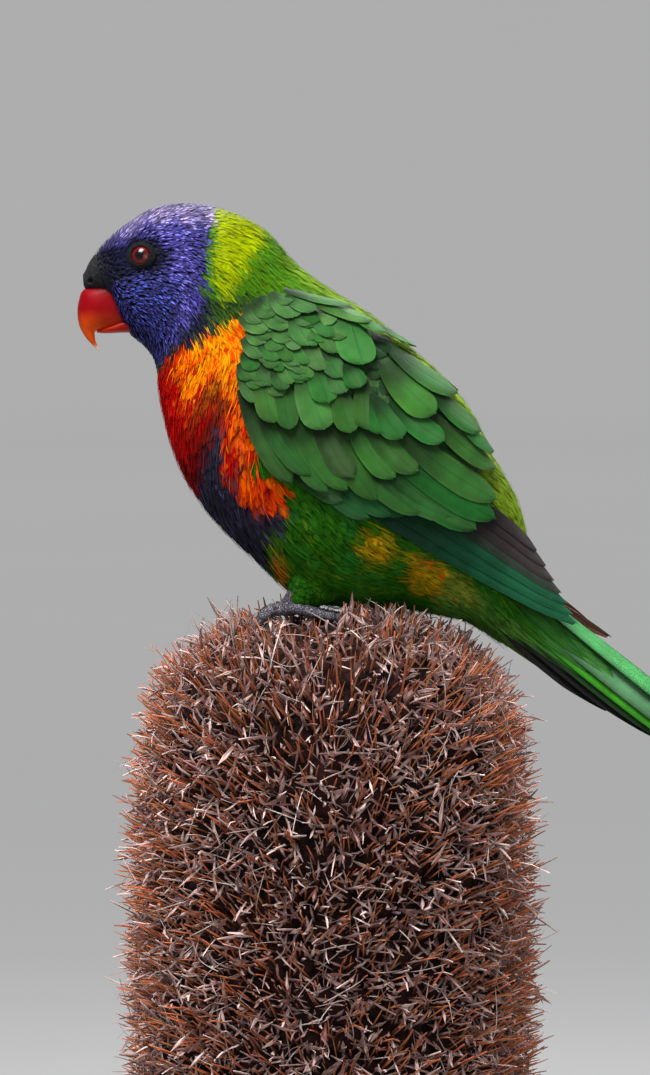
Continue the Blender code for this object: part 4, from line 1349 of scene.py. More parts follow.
MATT = dict(roughness=0.7, sheen=0.0)
HEAD_FEATHER = FeatherFinish(
    "head_feather", 0.70, 0.30, 1.0, 10.0, 0.06, 3.0, 1.0, 0.8, 0.25, 0.6, 0.6, 0.0, specular=0.2,
)
NECK_FEATHER = FeatherFinish(
    "neck_feather", 0.9, 0.2, 0.8, 22.0, 0.08, 8.0, 0.97, 0.9, 0.6, **MATT, specular=0.03,
)
BODY_FEATHER = FeatherFinish(
    "body_feather", 0.8, 0.15, 0.9, 30.0, 0.14, 10.0, 0.95, 0.8, **MATT, specular=0.05,
)
LONG_FEATHER = FeatherFinish(
    "long_feather", 0.9, -0.2, 0.6, 90.0, 0.12, 20.0, 0.8, 0.7, roughness=0.6, sheen=0.0, specular=0.15,
)
STRAND = FeatherFinish(
    "feather_strand", 1.2, -0.3, 0.85, 4.0, 0.05, 0.0, 1.0, 1.0, 0.7, **MATT, specular=0.03,
)
HEAD = dict(columns=2, rows=3, fray=0.12, under_wing=True)
SLIM = dict(
    columns=1, rows=3, fray=0.0, thickness=0.14, tip_start=0.3, tip_powers=(1.2, 0.9), root_height=-0.3,
)
REGIONS = (
    *(
        Region("coat_head_" + side.label, "head_plumage", CERE_END - 0.9, 8.9, (3.1, 4.6), (0.42, 0.62),
               0.80, 0.32, HEAD_FEATHER, **HEAD, side=side.value)
        for side in Side
    ),
    Region("coat_neck", "collar_plumage", 8.2, 11.8, (4.6, 6.4), (0.75, 1.1), 1.25, 0.45, NECK_FEATHER,
           columns=2, under_wing=True, uneven=0.7),
    *(
        Region("coat_body_" + side.label, "breast_plumage", 10.6, 19.6, (8.0, 12.0), (1.4, 2.2), 2.0, 0.8,
               BODY_FEATHER, rows=3, uneven=0.6, side=side.value)
        for side in Side
    ),
    Region("coat_vent", "belly_plumage", 18.6, 20.9, (7.0, 10.0), (1.1, 1.7), 1.9, 0.6, BODY_FEATHER),
    Region("coat_undertail", "belly_plumage", 19.4, 22.7, (17.0, 25.0), (1.7, 2.6), 2.9, 0.35, LONG_FEATHER,
           rows=7, columns=4, fray=0.04, wander=0.05, uneven=0.5, tone=(0.8, 1.25)),
    Region("strands_neck", "collar_plumage", 8.4, 12.2, (3.5, 6.0), (0.14, 0.22), 1.25, 0.75, STRAND, **SLIM,
           under_wing=True, uneven=0.6, tone=(0.85, 1.15)),
    Region("strands_body", "breast_plumage", 10.8, 21.0, (6.0, 10.5), (0.16, 0.28), 2.2, 1.1, STRAND, **SLIM,
           uneven=0.7, tone=(0.6, 1.35)),
)
SCAPULARS = (
    (-10.5, 99.8, 10.5, 90.5, 2.5, 9, 1.1), (-15.2, 101.1, 4.0, 94.9, 1.9, 10, 1.14),
    (1.2, 96.1, 14.9, 87.4, 3.1, 8, 1.04), (2.8, 96.1, 8.7, 77.8, 5.9, 7, 1.12),
    (11.8, 90.5, 24.8, 83.4, 3.1, 6, 1.0), (16.1, 83.7, 36.3, 69.4, 4.3, 5, 0.95),
    (14.3, 78.7, 30.1, 63.5, 5.3, 6, 1.05), (28.8, 71.3, 42.8, 58.3, 4.3, 4, 0.95),
    (37.2, 61.4, 47.4, 52.4, 3.1, 5, 1.0), (17.4, 67.6, 32.2, 55.5, 4.3, 3, 1.02),
    (28.5, 64.5, 48.0, 45.9, 4.0, 2, 0.92), (19.8, 59.5, 48.7, 37.2, 4.7, 1, 0.98),
    (16.1, 55.2, 48.4, 31.9, 4.3, 0, 0.95), (12.4, 51.5, 43.4, 29.4, 4.0, -1, 0.88),
    (8.7, 49.6, 35.6, 32.2, 3.7, -2, 0.84), (3.7, 51.5, 27.9, 34.4, 3.7, -3, 0.84),
)
MEDIAN_COVERTS = (
    (-21.7, 77.5, -16.7, 61.7, 4.3, 2, 1.0), (-14.9, 76.3, -12.7, 59.8, 3.7, 1, 0.98),
    (-9.3, 77.5, -3.1, 59.2, 4.7, 2, 1.12), (-6.2, 78.7, -1.2, 67.3, 4.3, 3, 1.05),
    (1.9, 72.5, 5.3, 58.6, 4.0, 2, 1.0), (8.1, 74.4, 10.5, 58.9, 3.7, 1, 0.92),
    (4.0, 79.4, 7.1, 71.3, 3.7, 4, 0.88), (10.5, 70.1, 15.8, 58.3, 3.7, 1, 0.95),
    (12.4, 68.2, 20.5, 57.0, 3.7, 2, 0.9),
)
GREATER_COVERTS = (
    (-26.4, 72.5, -12.1, 43.7, 3.7, 0, 0.72), (-21.7, 67.6, -6.8, 46.2, 3.7, 1, 0.85),
    (-16.1, 65.7, -1.6, 41.2, 3.7, 1, 0.95), (-10.5, 64.5, 4.3, 41.5, 4.0, 1, 1.05),
    (-3.7, 63.2, 6.5, 45.3, 3.7, 1, 0.68), (0.0, 63.2, 13.3, 38.4, 3.7, 0, 0.86),
    (5.6, 62.6, 18.9, 44.6, 4.3, 1, 1.02), (11.2, 63.2, 25.1, 45.9, 4.3, 1, 0.92),
)
SECONDARIES = (
    (-13.0, 49.6, 3.4, 38.1, 3.1, 0, 0.62), (-8.1, 47.7, 11.2, 32.9, 3.1, 0, 0.66),
    (-1.9, 47.1, 18.0, 33.8, 3.1, 0, 0.7), (2.5, 44.6, 22.3, 34.1, 3.1, -1, 0.6),
)
LESSER_COVERTS = (
    (-28.5, 93.0, -19.2, 87.7, 3.4, 2, 1.1), (-21.7, 95.5, -13.9, 88.7, 3.7, 3, 1.15),
    (-18.6, 90.5, -13.0, 85.2, 3.1, 2, 1.1), (-12.4, 94.2, -6.8, 83.4, 4.7, 4, 1.12),
    (-14.9, 98.9, -5.9, 93.6, 3.4, 5, 1.1), (-19.2, 100.4, -12.1, 91.8, 3.4, 4, 1.05),
    (-27.3, 87.4, -21.7, 80.6, 3.1, 1, 1.0), (-22.9, 86.2, -16.1, 79.4, 3.4, 2, 1.02),
    (-15.5, 86.2, -10.5, 78.7, 3.4, 2, 0.98), (-9.0, 86.2, -3.1, 76.9, 3.7, 2, 0.95),
    (-26.0, 81.2, -21.7, 73.8, 3.1, 0, 0.95), (-20.5, 80.6, -14.9, 73.2, 3.4, 1, 1.0),
    (-13.0, 81.2, -8.7, 73.8, 3.4, 1, 0.96), (-3.1, 83.7, 1.9, 75.0, 3.7, 2, 0.9),
    (-4.3, 90.5, 0.6, 81.8, 3.7, 3, 0.96), (-25.4, 98.0, -19.2, 93.0, 3.1, 2, 0.98),
    (-27.6, 97.3, -22.9, 90.5, 2.8, 1, 0.92), (-6.2, 94.2, -0.6, 85.6, 3.4, 4, 1.0),
    (-1.9, 77.5, 3.1, 70.1, 3.7, 2, 0.9), (-27.9, 76.9, -23.6, 68.2, 2.8, 0, 0.85),
)
PRIMARIES = (
    (12.4, 35.3, 76.0, -1.2, 2.5, 0, 0.9), (17.4, 36.3, 74.1, 1.6, 2.5, 1, 0.95),
    (22.3, 38.1, 72.2, 4.7, 2.5, 2, 0.8), (28.5, 38.1, 70.1, 7.8, 2.6, 3, 0.62),
    (34.1, 37.8, 67.6, 11.5, 2.6, 4, 0.52), (39.1, 37.8, 64.8, 16.1, 2.3, 5, 0.45),
    (42.8, 37.5, 61.7, 21.1, 2.0, 6, 0.42),
)


WING_GREEN = colour(44, 92, 26)
WING_EMERALD = colour(20, 98, 30)
WING_OLIVE = colour(58, 98, 24)
WING_GREY = colour(100, 134, 84)
WING_DARK = colour(44, 44, 46)
PRIMARY_TEAL = colour(14, 84, 52)
PRIMARY_BROWN = colour(54, 44, 46)
# Lighter brown for the far wing's first two primary tips: painted light that brightens tips lying in shade
FAR_TIP_PAINTED_LIGHT_BROWN = colour(116, 74, 66)
FAR_TIP_PAINTED_LIGHT_TONE = 0.5


def lay_between(form: Loft, shape: Vane, root: np.ndarray, tip: np.ndarray, width: np.ndarray,
                heights: tuple, tilt: float, side: Side, bow: np.ndarray | float = 0.0) -> np.ndarray:
    """Lays feathers between side-view places of their roots and tips.

    Args:
        form: The form that they lie on.
        shape: The feather's shape.
        root: Places of the roots, in millimetres.
        tip: Places of the tips.
        width: Half width of each feather.
        heights: Height of each root and of each tip over the surface.
        tilt: Rise of the lower edge, in millimetres.
        side: Side of the bird.
        bow: Bend of the feather towards the belly, as a share of its length.

    Returns:
        Points of each feather.
    """
    share = shape.places[None, :, 1]
    across = shape.places[None, :, 0]
    run = tip - root
    reach = np.linalg.norm(run, axis=-1)[:, None]
    ahead = run / reach
    below = np.stack((ahead[:, 1], -ahead[:, 0]), -1)
    below *= np.where(below[:, 1:2] > 0, -1.0, 1.0)
    bend = (4.0 * share * (1.0 - share) * bow * reach)[..., None]
    centre = root[:, None] + run[:, None] * share[..., None] + below[:, None] * bend
    t, angle = form.locate(centre[..., 0], centre[..., 1], side.value)
    here, d_t, d_angle, normal = form.frames(t, angle)
    sign_y = np.where(np.abs(normal[..., 1]) < 0.25, 0.25 * side.value, normal[..., 1])
    lean = -(ahead[:, None, 0] * normal[..., 0] + ahead[:, None, 1] * normal[..., 2]) / sign_y
    ahead_x, ahead_z = (np.broadcast_to(ahead[:, None, k], lean.shape) for k in (0, 1))
    tangent = np.stack((ahead_x, lean, ahead_z), -1)
    cross = np.cross(tangent, normal)
    cross /= np.linalg.norm(cross, axis=-1, keepdims=True)
    cross *= np.sign(cross[..., 0:1] * 0.5 + cross[..., 2:3])
    offset = across * width[:, None]
    tt, aa = np.sum(d_t * d_t, -1), np.sum(d_angle * d_angle, -1)
    ta = np.sum(d_t * d_angle, -1)
    to_t, to_a = np.sum(cross * d_t, -1) * offset, np.sum(cross * d_angle, -1) * offset
    scale = np.maximum(tt * aa - ta * ta, 1e-9)
    spot_t = t + (to_t * aa - to_a * ta) / scale
    spot_angle = angle + (to_a * tt - to_t * ta) / scale
    here, _, _, normal = form.frames(np.clip(spot_t, -0.3, form.last + 0.3), spot_angle)
    height = heights[0][:, None] * (1.0 - share) + heights[1][:, None] * share
    height = height - tilt * across + shape.places[None, :, 2] * width[:, None]
    height = height * smoothstep(-0.25, 0.7, np.abs(normal[..., 1]))
    return here + normal * height[..., None]


def atlas(count: int, first: int, total: int, vane: np.ndarray) -> np.ndarray:
    """Places of large feathers in the bake's map, each in a cell of its own.

    Args:
        count: Number of feathers.
        first: Number of the first one among all in the piece.
        total: Number of feathers in the piece.
        vane: Map of one feather.

    Returns:
        Places of each feather's points.
    """
    cells = math.ceil(math.sqrt(total))
    index = first + np.arange(count)
    corner = np.stack((index % cells, index // cells), -1) / cells
    return corner[:, None] + (0.05 + 0.9 * vane[None]) / cells


@dataclass(frozen=True)
class WingRow:
    """Feathers of one kind: table, height of roots and of tips, rise of an edge, and their shape."""

    table: tuple
    root_height: float
    tip_height: float
    tilt: float
    shape: dict
    order_rise: float = 0.22
    bow: float = 0.02
    kind: str = "covert"
    loose: float = 0.35


SMALL_KINDS = ("covert", "lesser")
COVERT = dict(outline=(0.50, 0.85, 1.0, 1.04, 1.0), columns=6, rows=9, tip_start=0.70, tip_powers=(2.0, 0.5))
ROUND = dict(outline=(0.55, 0.95, 1.05, 1.05), columns=6, rows=8, tip_start=0.52, tip_powers=(2.0, 0.5))
LONG = dict(outline=(0.70, 0.92, 1.0, 1.0, 0.98), columns=6, rows=10, tip_start=0.74, tip_powers=(2.0, 0.55))
PRIMARY = dict(
    outline=(0.80, 1.0, 1.0, 0.95, 0.88), columns=6, rows=11, tip_start=0.78, tip_powers=(2.0, 0.6),
)
WING_ROWS = (
    WingRow(PRIMARIES, 1.7, 1.9, 0.30, PRIMARY, order_rise=0.14, bow=-0.04, kind="primary"),
    WingRow(SECONDARIES, 1.3, 2.5, 0.40, LONG, kind="secondary"),
    WingRow(GREATER_COVERTS, 1.8, 3.3, 0.50, LONG, bow=0.05),
    WingRow(SCAPULARS, 2.4, 3.7, 0.55, COVERT, order_rise=0.14, bow=0.03),
    WingRow(MEDIAN_COVERTS, 2.6, 3.9, 0.45, COVERT),
    WingRow(LESSER_COVERTS, 2.8, 4.0, 0.40, ROUND, order_rise=0.18, kind="lesser"),
)
PAD_RUNGS = (
    (-26.2, 86.0, -22.5, 96.5, 1.4),
    (-24.8, 70.4, -13.0, 99.0, 3.0),
    (-17.7, 55.8, 0.9, 95.0, 3.3),
    (-5.3, 44.6, 16.4, 86.2, 3.0),
    (11.8, 37.8, 30.4, 74.5, 2.6),
    (28.8, 35.3, 40.6, 60.0, 2.2),
    (41.2, 35.3, 45.3, 47.1, 1.4),
)


@dataclass
class Wing:
    """Folded wing of large overlapping feathers over a downy pad."""

    side: Side
    pad_rings: int = 40
    pad_columns: int = 24
    filler_step: float = 4.0
    small_step: float = 3.1
    lesser_width: float = 0.82
    fray: float = 0.025
    fray_small: float = 0.045
    far_tips: tuple = ((11.0, -5.0), (5.0, -2.2))
    draw: np.random.Generator = None

    def __post_init__(self) -> None:
        """Seeds the wing's own draws."""
        self.draw = np.random.default_rng(SEED + 5 + self.side.value)

    def colours(self, row: WingRow, table: np.ndarray) -> tuple:
        """Colours of a row's feathers.

        Args:
            row: The row.
            table: Its table, with what was added to it.

        Returns:
            Base and second colours.
        """
        count, given = len(table), table[:, 6]
        tone = given[:, None] * self.draw.uniform(0.94, 1.06, (count, 1))
        bright = smoothstep(0.95, 1.05, given + self.draw.uniform(-0.06, 0.06, count))
        if row.kind == "primary":
            share = smoothstep(0.85, 0.5, given)
            tint = blend(np.broadcast_to(PRIMARY_TEAL, (count, 3)), PRIMARY_BROWN, share)
            # Painted light: the far wing's marked primary tips are blended to a lighter brown where they lie
            # in shade
            tint = blend(tint, FAR_TIP_PAINTED_LIGHT_BROWN, 0.9 * (given == FAR_TIP_PAINTED_LIGHT_TONE))
            return tint, blend(tint * 1.5, WING_GREY, 0.06 * np.ones(count))
        tint = blend(np.broadcast_to(WING_GREEN, (count, 3)), WING_EMERALD, self.draw.random(count) * 0.9)
        tint = blend(tint, WING_OLIVE, smoothstep(0.45, 1.0, self.draw.random(count)) * 0.6)
        tint = tint * (0.88 + 0.25 * bright[:, None])
        if row.kind == "secondary":
            tint = blend(tint, PRIMARY_TEAL, 0.5 * np.ones(count))
        grey = smoothstep(1.04, 1.3, given)
        if row.kind == "lesser":
            grey = np.maximum(grey, 0.7 * self.draw.random(count))
        tint = blend(tint, WING_GREY, grey * 0.6 + 0.10 * self.draw.random(count))
        # Low-tone feathers of the covert and lesser rows, above all the fillers, are blended towards dark
        # grey: painted shade in the gaps between feathers
        dark = smoothstep(0.74, 0.62, given)
        tint = blend(tint, WING_DARK, dark * (0.55 if row.kind in SMALL_KINDS else 0.0))
        streak = blend(WING_EMERALD * 1.4, WING_GREY, smoothstep(0.5, 1.0, self.draw.random(count)))
        return tint * tone, blend(tint * tone, streak, 0.5 * np.ones(count))

    def fillers(self) -> np.ndarray:
        """Further small feathers that close the gaps between those of the tables.

        Returns:
            Their table.
        """
        rows = []
        for x in np.arange(-28.0, 34.0, self.filler_step):
            for z in np.arange(40.0, 98.0, self.filler_step):
                spot = np.array((x, z)) + self.draw.uniform(-1.0, 1.0, 2)
                if distance_to(FILLER_AREA, spot[0:1], spot[1:2])[0] < 0.0:
                    continue
                lean = math.radians(-62.0 + 28.0 * smoothstep(-24.0, 24.0, spot[0]))
                tip = spot + np.array((math.cos(lean), math.sin(lean))) * self.draw.uniform(8.0, 10.0)
                # Tones of 0.4 to 0.8 darken the fillers as painted shade in the gaps
                rows.append((*spot, *tip, self.draw.uniform(3.0, 3.8), 0, self.draw.uniform(0.4, 0.8)))
        return np.array(rows)

    def small_ones(self) -> np.ndarray:
        """The shoulder's small feathers, between and over those of the table of lesser coverts.

        Returns:
            Their table.
        """
        rows = []
        (x_low, z_low), (x_high, z_high) = SHOULDER_AREA.min(axis=0), SHOULDER_AREA.max(axis=0)
        for z in np.arange(z_low, z_high, self.small_step):
            for x in np.arange(x_low, x_high, self.small_step):
                spot = np.array((x, z)) + self.draw.uniform(-1.3, 1.3, 2)
                if distance_to(SHOULDER_AREA, spot[0:1], spot[1:2])[0] < 0.0:
                    continue
                lean = -64.0 + 34.0 * smoothstep(84.0, 98.0, spot[1]) + self.draw.normal(0.0, 9.0)
                lean = math.radians(lean)
                tip = spot + np.array((math.cos(lean), math.sin(lean))) * self.draw.uniform(6.0, 8.6)
                order = self.draw.uniform(-1.0, 3.5)
                rows.append((*spot, *tip, self.draw.uniform(1.9, 3.0), order, self.draw.uniform(0.84, 1.12)))
        return np.array(rows)

    def build(self) -> None:
        """Makes the wing's pad and feathers."""
        self.build_pad()
        rows = (WingRow(tuple(map(tuple, self.fillers())), 1.0, 1.9, 0.35, ROUND),) + WING_ROWS
        small_ones = self.small_ones()
        total = sum(len(row.table) for row in rows) + len(small_ones)
        sheaf, first = Sheaf(), 0
        for row in rows:
            table = np.array(row.table, float)
            fray = self.fray_small if row.kind == "lesser" else self.fray
            shape = Vane(**row.shape, thickness=0.10, camber=0.10, fray=fray)
            if row.kind == "lesser":
                table[:, 4] *= self.lesser_width
                table[:, 0:3:2] += smoothstep(-22.0, -26.0, table[:, 0])[:, None]
                table = np.vstack((table, small_ones))
            # The far wing's first two primaries get moved tips and the tone that marks them for the painted
            # light
            if row.kind == "primary" and self.side is Side.RIGHT:
                table[:2, 2:4] += np.array(self.far_tips)
                table[:2, 6] = FAR_TIP_PAINTED_LIGHT_TONE
            if row.kind in SMALL_KINDS:
                table[:, 0:4] += self.draw.normal(0.0, row.loose, (len(table), 4))
                table[:, 4] *= self.draw.uniform(0.86, 1.12, len(table))
            rise = table[:, 5] * row.order_rise
            bow = row.bow * (table[:, 5:6] / 6.0 if row.kind == "primary" else 1.0)
            spots = lay_between(
                WING, shape, table[:, 0:2], table[:, 2:4], table[:, 4],
                (row.root_height + rise, row.tip_height + rise), row.tilt, self.side, bow,
            )
            tint, accent = self.colours(row, table)
            bake = atlas(len(table), first, total, shape.vane)
            sheaf.add(spots, shape.faces, shape.vane, bake, tint, accent)
            first += len(table)
        item = sheaf.build("wing_" + self.side.label, WING_FINISH.make(), 40.0)
        face_outwards(item)
        settle(item, item.name + "_feathers", "wing_plumage", "wing_" + self.side.label)

    def build_pad(self) -> None:
        """Makes the downy pad that the feathers root in."""
        rungs = Loft(PAD_RUNGS)
        t = np.linspace(0.0, rungs.last, self.pad_rings)
        v = np.linspace(-1.0, 1.0, self.pad_columns)
        middle, up, half, thick = rungs.rows(t)
        spots = middle[:, None] + up[:, None] * (half[:, None] * v[None])[..., None]
        place_t, angle = WING.locate(spots[..., 0], spots[..., 1], self.side.value)
        here, _, _, normal = WING.frames(place_t, angle)
        crown = 0.30 + 0.50 * (1.0 - v * v)
        inner = here - normal * 0.6
        outer = here + normal * (0.3 + thick[:, None] * crown[None])[..., None] * 0.62
        item = loft_object("pad", np.concatenate((inner, outer[:, ::-1]), 1))
        finish = GrainFinish(
            "wing_down_" + self.side.label, tuple(WING_GREEN * 0.35), tuple(WING_GREEN * 0.75), scale=450.0,
            roughness=0.85, relief=0.0004,
        )
        settle(dress(item, finish), "wing_pad_" + self.side.label, "wing_plumage")


SHOULDER_AREA = np.array((
    (-28.2, 91), (-26.5, 98), (-22.0, 101.5), (-16, 101), (-8, 97), (-3, 90), (-4, 84), (-9, 79), (-16, 76),
    (-27.5, 74),
), float)
FILLER_AREA = np.array((
    (-27.5, 88), (-25.5, 97), (-10, 98), (4, 94), (16, 86), (28, 76), (38, 62), (40, 52), (24, 52), (6, 52),
    (-10, 52), (-20, 58), (-26, 72),
), float)


def face_outwards(item: bpy.types.Object) -> None:
    """Turns the faces of closed shells outwards.

    Args:
        item: The piece.
    """
    shape = bmesh.new()
    shape.from_mesh(item.data)
    bmesh.ops.recalc_face_normals(shape, faces=shape.faces[:])
    shape.to_mesh(item.data)
    shape.free()


WING_FINISH = FeatherFinish(
    "wing_feather", streak_width=0.8, streak_start=0.15, streak=0.4, barbs=60.0, barb_depth=0.2, slant=22.0,
    shaft=0.84, edge=1.2, root=0.30, root_end=0.62, roughness=0.6, sheen=0.0, relief=0.00015, specular=0.16,
)
TAIL_FINISH = FeatherFinish(
    "tail_feather", streak_width=0.9, streak_start=-0.4, streak=0.6, barbs=120.0, barb_depth=0.08, slant=24.0,
    shaft=0.85, edge=0.6, root=0.7, root_end=0.3, roughness=0.55, sheen=0.0, relief=0.00015, specular=0.2,
)


# Tail
@dataclass
class Tail:
    """Twelve graduated feathers folded like a roof."""

    root_upper: tuple = (66.2, 5.0)
    root_lower: tuple = (61.0, -8.0)
    downwards: tuple = (0.0, 0.26, 0.48, 0.64, 0.82, 1.0)
    inwards: float = 13.0
    tips: tuple = (
        (142.0, -55.0), (133.5, -51.7), (123.5, -47.5), (112.0, -42.0), (99.0, -35.0), (85.0, -27.2),
    )
    half_widths: tuple = (4.7, 5.0, 4.6, 4.2, 3.9, 3.7)
    rolls: tuple = (27.0, 54.0, 52.0, 48.0, 44.0, 40.0)
    # Colour of each pair from the top down; the dark green and near black of the lowest pairs are painted
    # shade on the tail's underside
    pair_greens_and_painted_shade: tuple = (
        (44, 132, 60), (76, 122, 82), (54, 142, 24), (28, 60, 24), (19, 18, 18), (20, 16, 15),
    )
    offsets: tuple = (3.9, 6.3, 6.4, 6.2, 6.0, 5.8)
    central_lift: float = 1.1
    outline: tuple = (0.35, 0.85, 1.0, 1.0, 0.96, 0.86)

    def build(self) -> None:
        """Makes the tail's feathers."""
        shape = Vane(self.outline, 6, 14, 0.10, 0.10, tip_start=0.62, tip_powers=(1.6, 0.8), crowding=1.3)
        sheaf = Sheaf()
        pairs = len(self.tips)
        for pair in range(pairs):
            f = self.downwards[pair]
            start = np.array(self.root_upper) * (1 - f) + np.array(self.root_lower) * f
            end = np.array(self.tips[pair])
            direction = (end - start) / np.linalg.norm(end - start)
            start = start - direction * self.inwards
            upward = np.array((-direction[1], direction[0]))
            roll = math.radians(self.rolls[pair])
            sine, cosine = math.sin(roll), math.cos(roll)
            for number, side in enumerate(Side, 2 * pair):
                sign = side.value
                across = np.array((-upward[0] * sine, sign * cosine, -upward[1] * sine))
                normal = np.array((upward[0] * cosine, sign * sine, upward[1] * cosine))
                share = shape.places[:, 1]
                flat = start[None] * (1 - share)[:, None] + end[None] * share[:, None]
                lift = self.central_lift if pair == 0 and side is Side.LEFT else 0.0
                out = self.offsets[pair] * (1.0 - 0.25 * share)
                x, z = (flat[:, k] + upward[k] * lift for k in (0, 1))
                centre = np.stack((x, sign * out, z), -1)
                width = self.half_widths[pair]
                spots = centre + across * (shape.places[:, 0] * width)[:, None]
                spots += normal * (shape.places[:, 2] * width)[:, None]
                bake = atlas(1, number, 2 * pairs, shape.vane)
                # Each pair's colour, with painted shade on the lowest pairs
                green = colour(*self.pair_greens_and_painted_shade[pair])
                sheaf.add(spots[None], shape.faces, shape.vane, bake, green[None], green[None] * 1.5)
        item = sheaf.build("tail_feathers", TAIL_FINISH.make(), 40.0)
        face_outwards(item)
        settle(item, "tail_feathers", "tail_plumage", "tail")
# Paths
def tube(path: np.ndarray, sides: int) -> np.ndarray:
    """Rings round a path.

    Args:
        path: Points and radii, in millimetres.
        sides: Points in each ring.

    Returns:
        Points by ring and place round it.
    """
    centres, radii = path[:, :3], path[:, 3]
    tangents = np.gradient(centres, axis=0)
    tangents /= np.linalg.norm(tangents, axis=1, keepdims=True)
    across = np.cross(tangents[0], (0.0, 0.0, 1.0))
    across = np.array((0.0, 1.0, 0.0)) if np.linalg.norm(across) < 1e-6 else across
    rings = []
    for centre, tangent, radius in zip(centres, tangents, radii):
        across = across - tangent * np.dot(across, tangent)
        across /= np.linalg.norm(across)
        other = np.cross(tangent, across)
        angle = np.linspace(0.0, TURN, sides, endpoint=False)[:, None]
        rings.append(centre + radius * (across * np.cos(angle) + other * np.sin(angle)))
    return np.array(rings)


def smooth_path(points: tuple, steps: int) -> np.ndarray:
    """Smooth curve through points.

    Args:
        points: The points and radii.
        steps: Number of points of the curve.

    Returns:
        Points and radii of the curve.
    """
    points = np.array(points, float)
    padded = np.vstack((2 * points[0] - points[1], points, 2 * points[-1] - points[-2]))
    spots = []
    for t in np.linspace(0.0, len(points) - 1 - 1e-9, steps):
        i, f = int(t), t - int(t)
        p0, p1, p2, p3 = padded[i:i + 4]
        spots.append(0.5 * (2 * p1 + (p2 - p0) * f + (2 * p0 - 5 * p1 + 4 * p2 - p3) * f * f
                            + (3 * p1 - p0 - 3 * p2 + p3) * f ** 3))
    return np.array(spots)


def join(items: list, name: str) -> bpy.types.Object:
    """Joins objects into one.

    Args:
        items: The objects.
        name: Name of the joined one.

    Returns:
        The joined object.
    """
    deselect_all()
    for item in items:
        item.select_set(True)
    bpy.context.view_layer.objects.active = items[0]
    bpy.ops.object.join()
    items[0].select_set(False)
    items[0].name = name
    return items[0]


def eye_place(side: Side) -> tuple:
    """Place of an eye.

    Args:
        side: Its side.

    Returns:
        Surface point and outward direction, in millimetres.
    """
    t, angle = BODY.locate(*EYE_SIDE_VIEW, side.value)
    here, _, _, normal = BODY.frames(np.array([t]), np.array([angle]))
    return here[0], normal[0]


# Head
@dataclass(frozen=True)
class BillFinish:
    """Finish of the horn of the bill, which runs from one colour at the root to another at the tip."""

    name: str
    root: tuple
    tip: tuple
    from_x: float
    to_x: float
    from_z: float
    to_z: float
    point: tuple = (0.8, 0.68, 0.5)
    point_z: float = 84.6

    def make(self) -> bpy.types.Material:
        """Makes the material of this finish.

        Returns:
            The material.
        """
        paint_kit = Paint(self.name)
        tree = paint_kit.tree
        place = tree.place()
        apart = tree.add("ShaderNodeSeparateXYZ", {0: place})
        height = tree.math("ADD", apart.outputs[2], tree.waver(tree.noise(700.0, 4.0), 0.0012))
        low, high = PERCH_LEVEL + self.to_z * MM, PERCH_LEVEL + self.from_z * MM
        downwards = tree.ramp(height, low, high, 1.0, 0.0)
        forwards = tree.ramp(apart.outputs[0], self.to_x * MM, self.from_x * MM, 1.0, 0.0)
        share = tree.math("MULTIPLY", downwards, tree.math("ADD", tree.math("MULTIPLY", forwards, 0.6), 0.4))
        tone = tree.mix(share, opaque(self.root), opaque(self.tip))
        end = PERCH_LEVEL + self.point_z * MM
        tone = tree.mix(tree.ramp(height, end - 0.2 * MM, end + 1.8 * MM, 1.0, 0.0), tone, opaque(self.point))
        drawn_out = tree.add("ShaderNodeMapping", {"Vector": place, "Scale": (1.0, 3.0, 0.6)}).outputs[0]
        stripes = tree.noise(260.0, 5.0, drawn_out)
        tone = tree.mix(tree.ramp(stripes, 0.35, 0.75, 0.0, 0.22), tone, opaque(np.array(self.root) * 0.35))
        return paint_kit.finish(
            tone, stripes, 0.00012, Roughness=0.46, Specular_IOR_Level=0.08, Coat_Weight=0.05,
            Coat_Roughness=0.2,
        )


EYE_TONES = ((52, 6, 5), (88, 9, 7), (6, 4, 6), (14, 8, 10))
SCALE_TONES = ((34, 30, 36), (70, 66, 76), (128, 120, 134))
LID_PROFILE = (
    (4.9, -1.0), (4.4, -0.2), (3.9, 0.1), (3.5, 0.4), (3.12, 0.58), (2.84, 0.42), (2.74, -0.1), (3.2, -1.2),
)


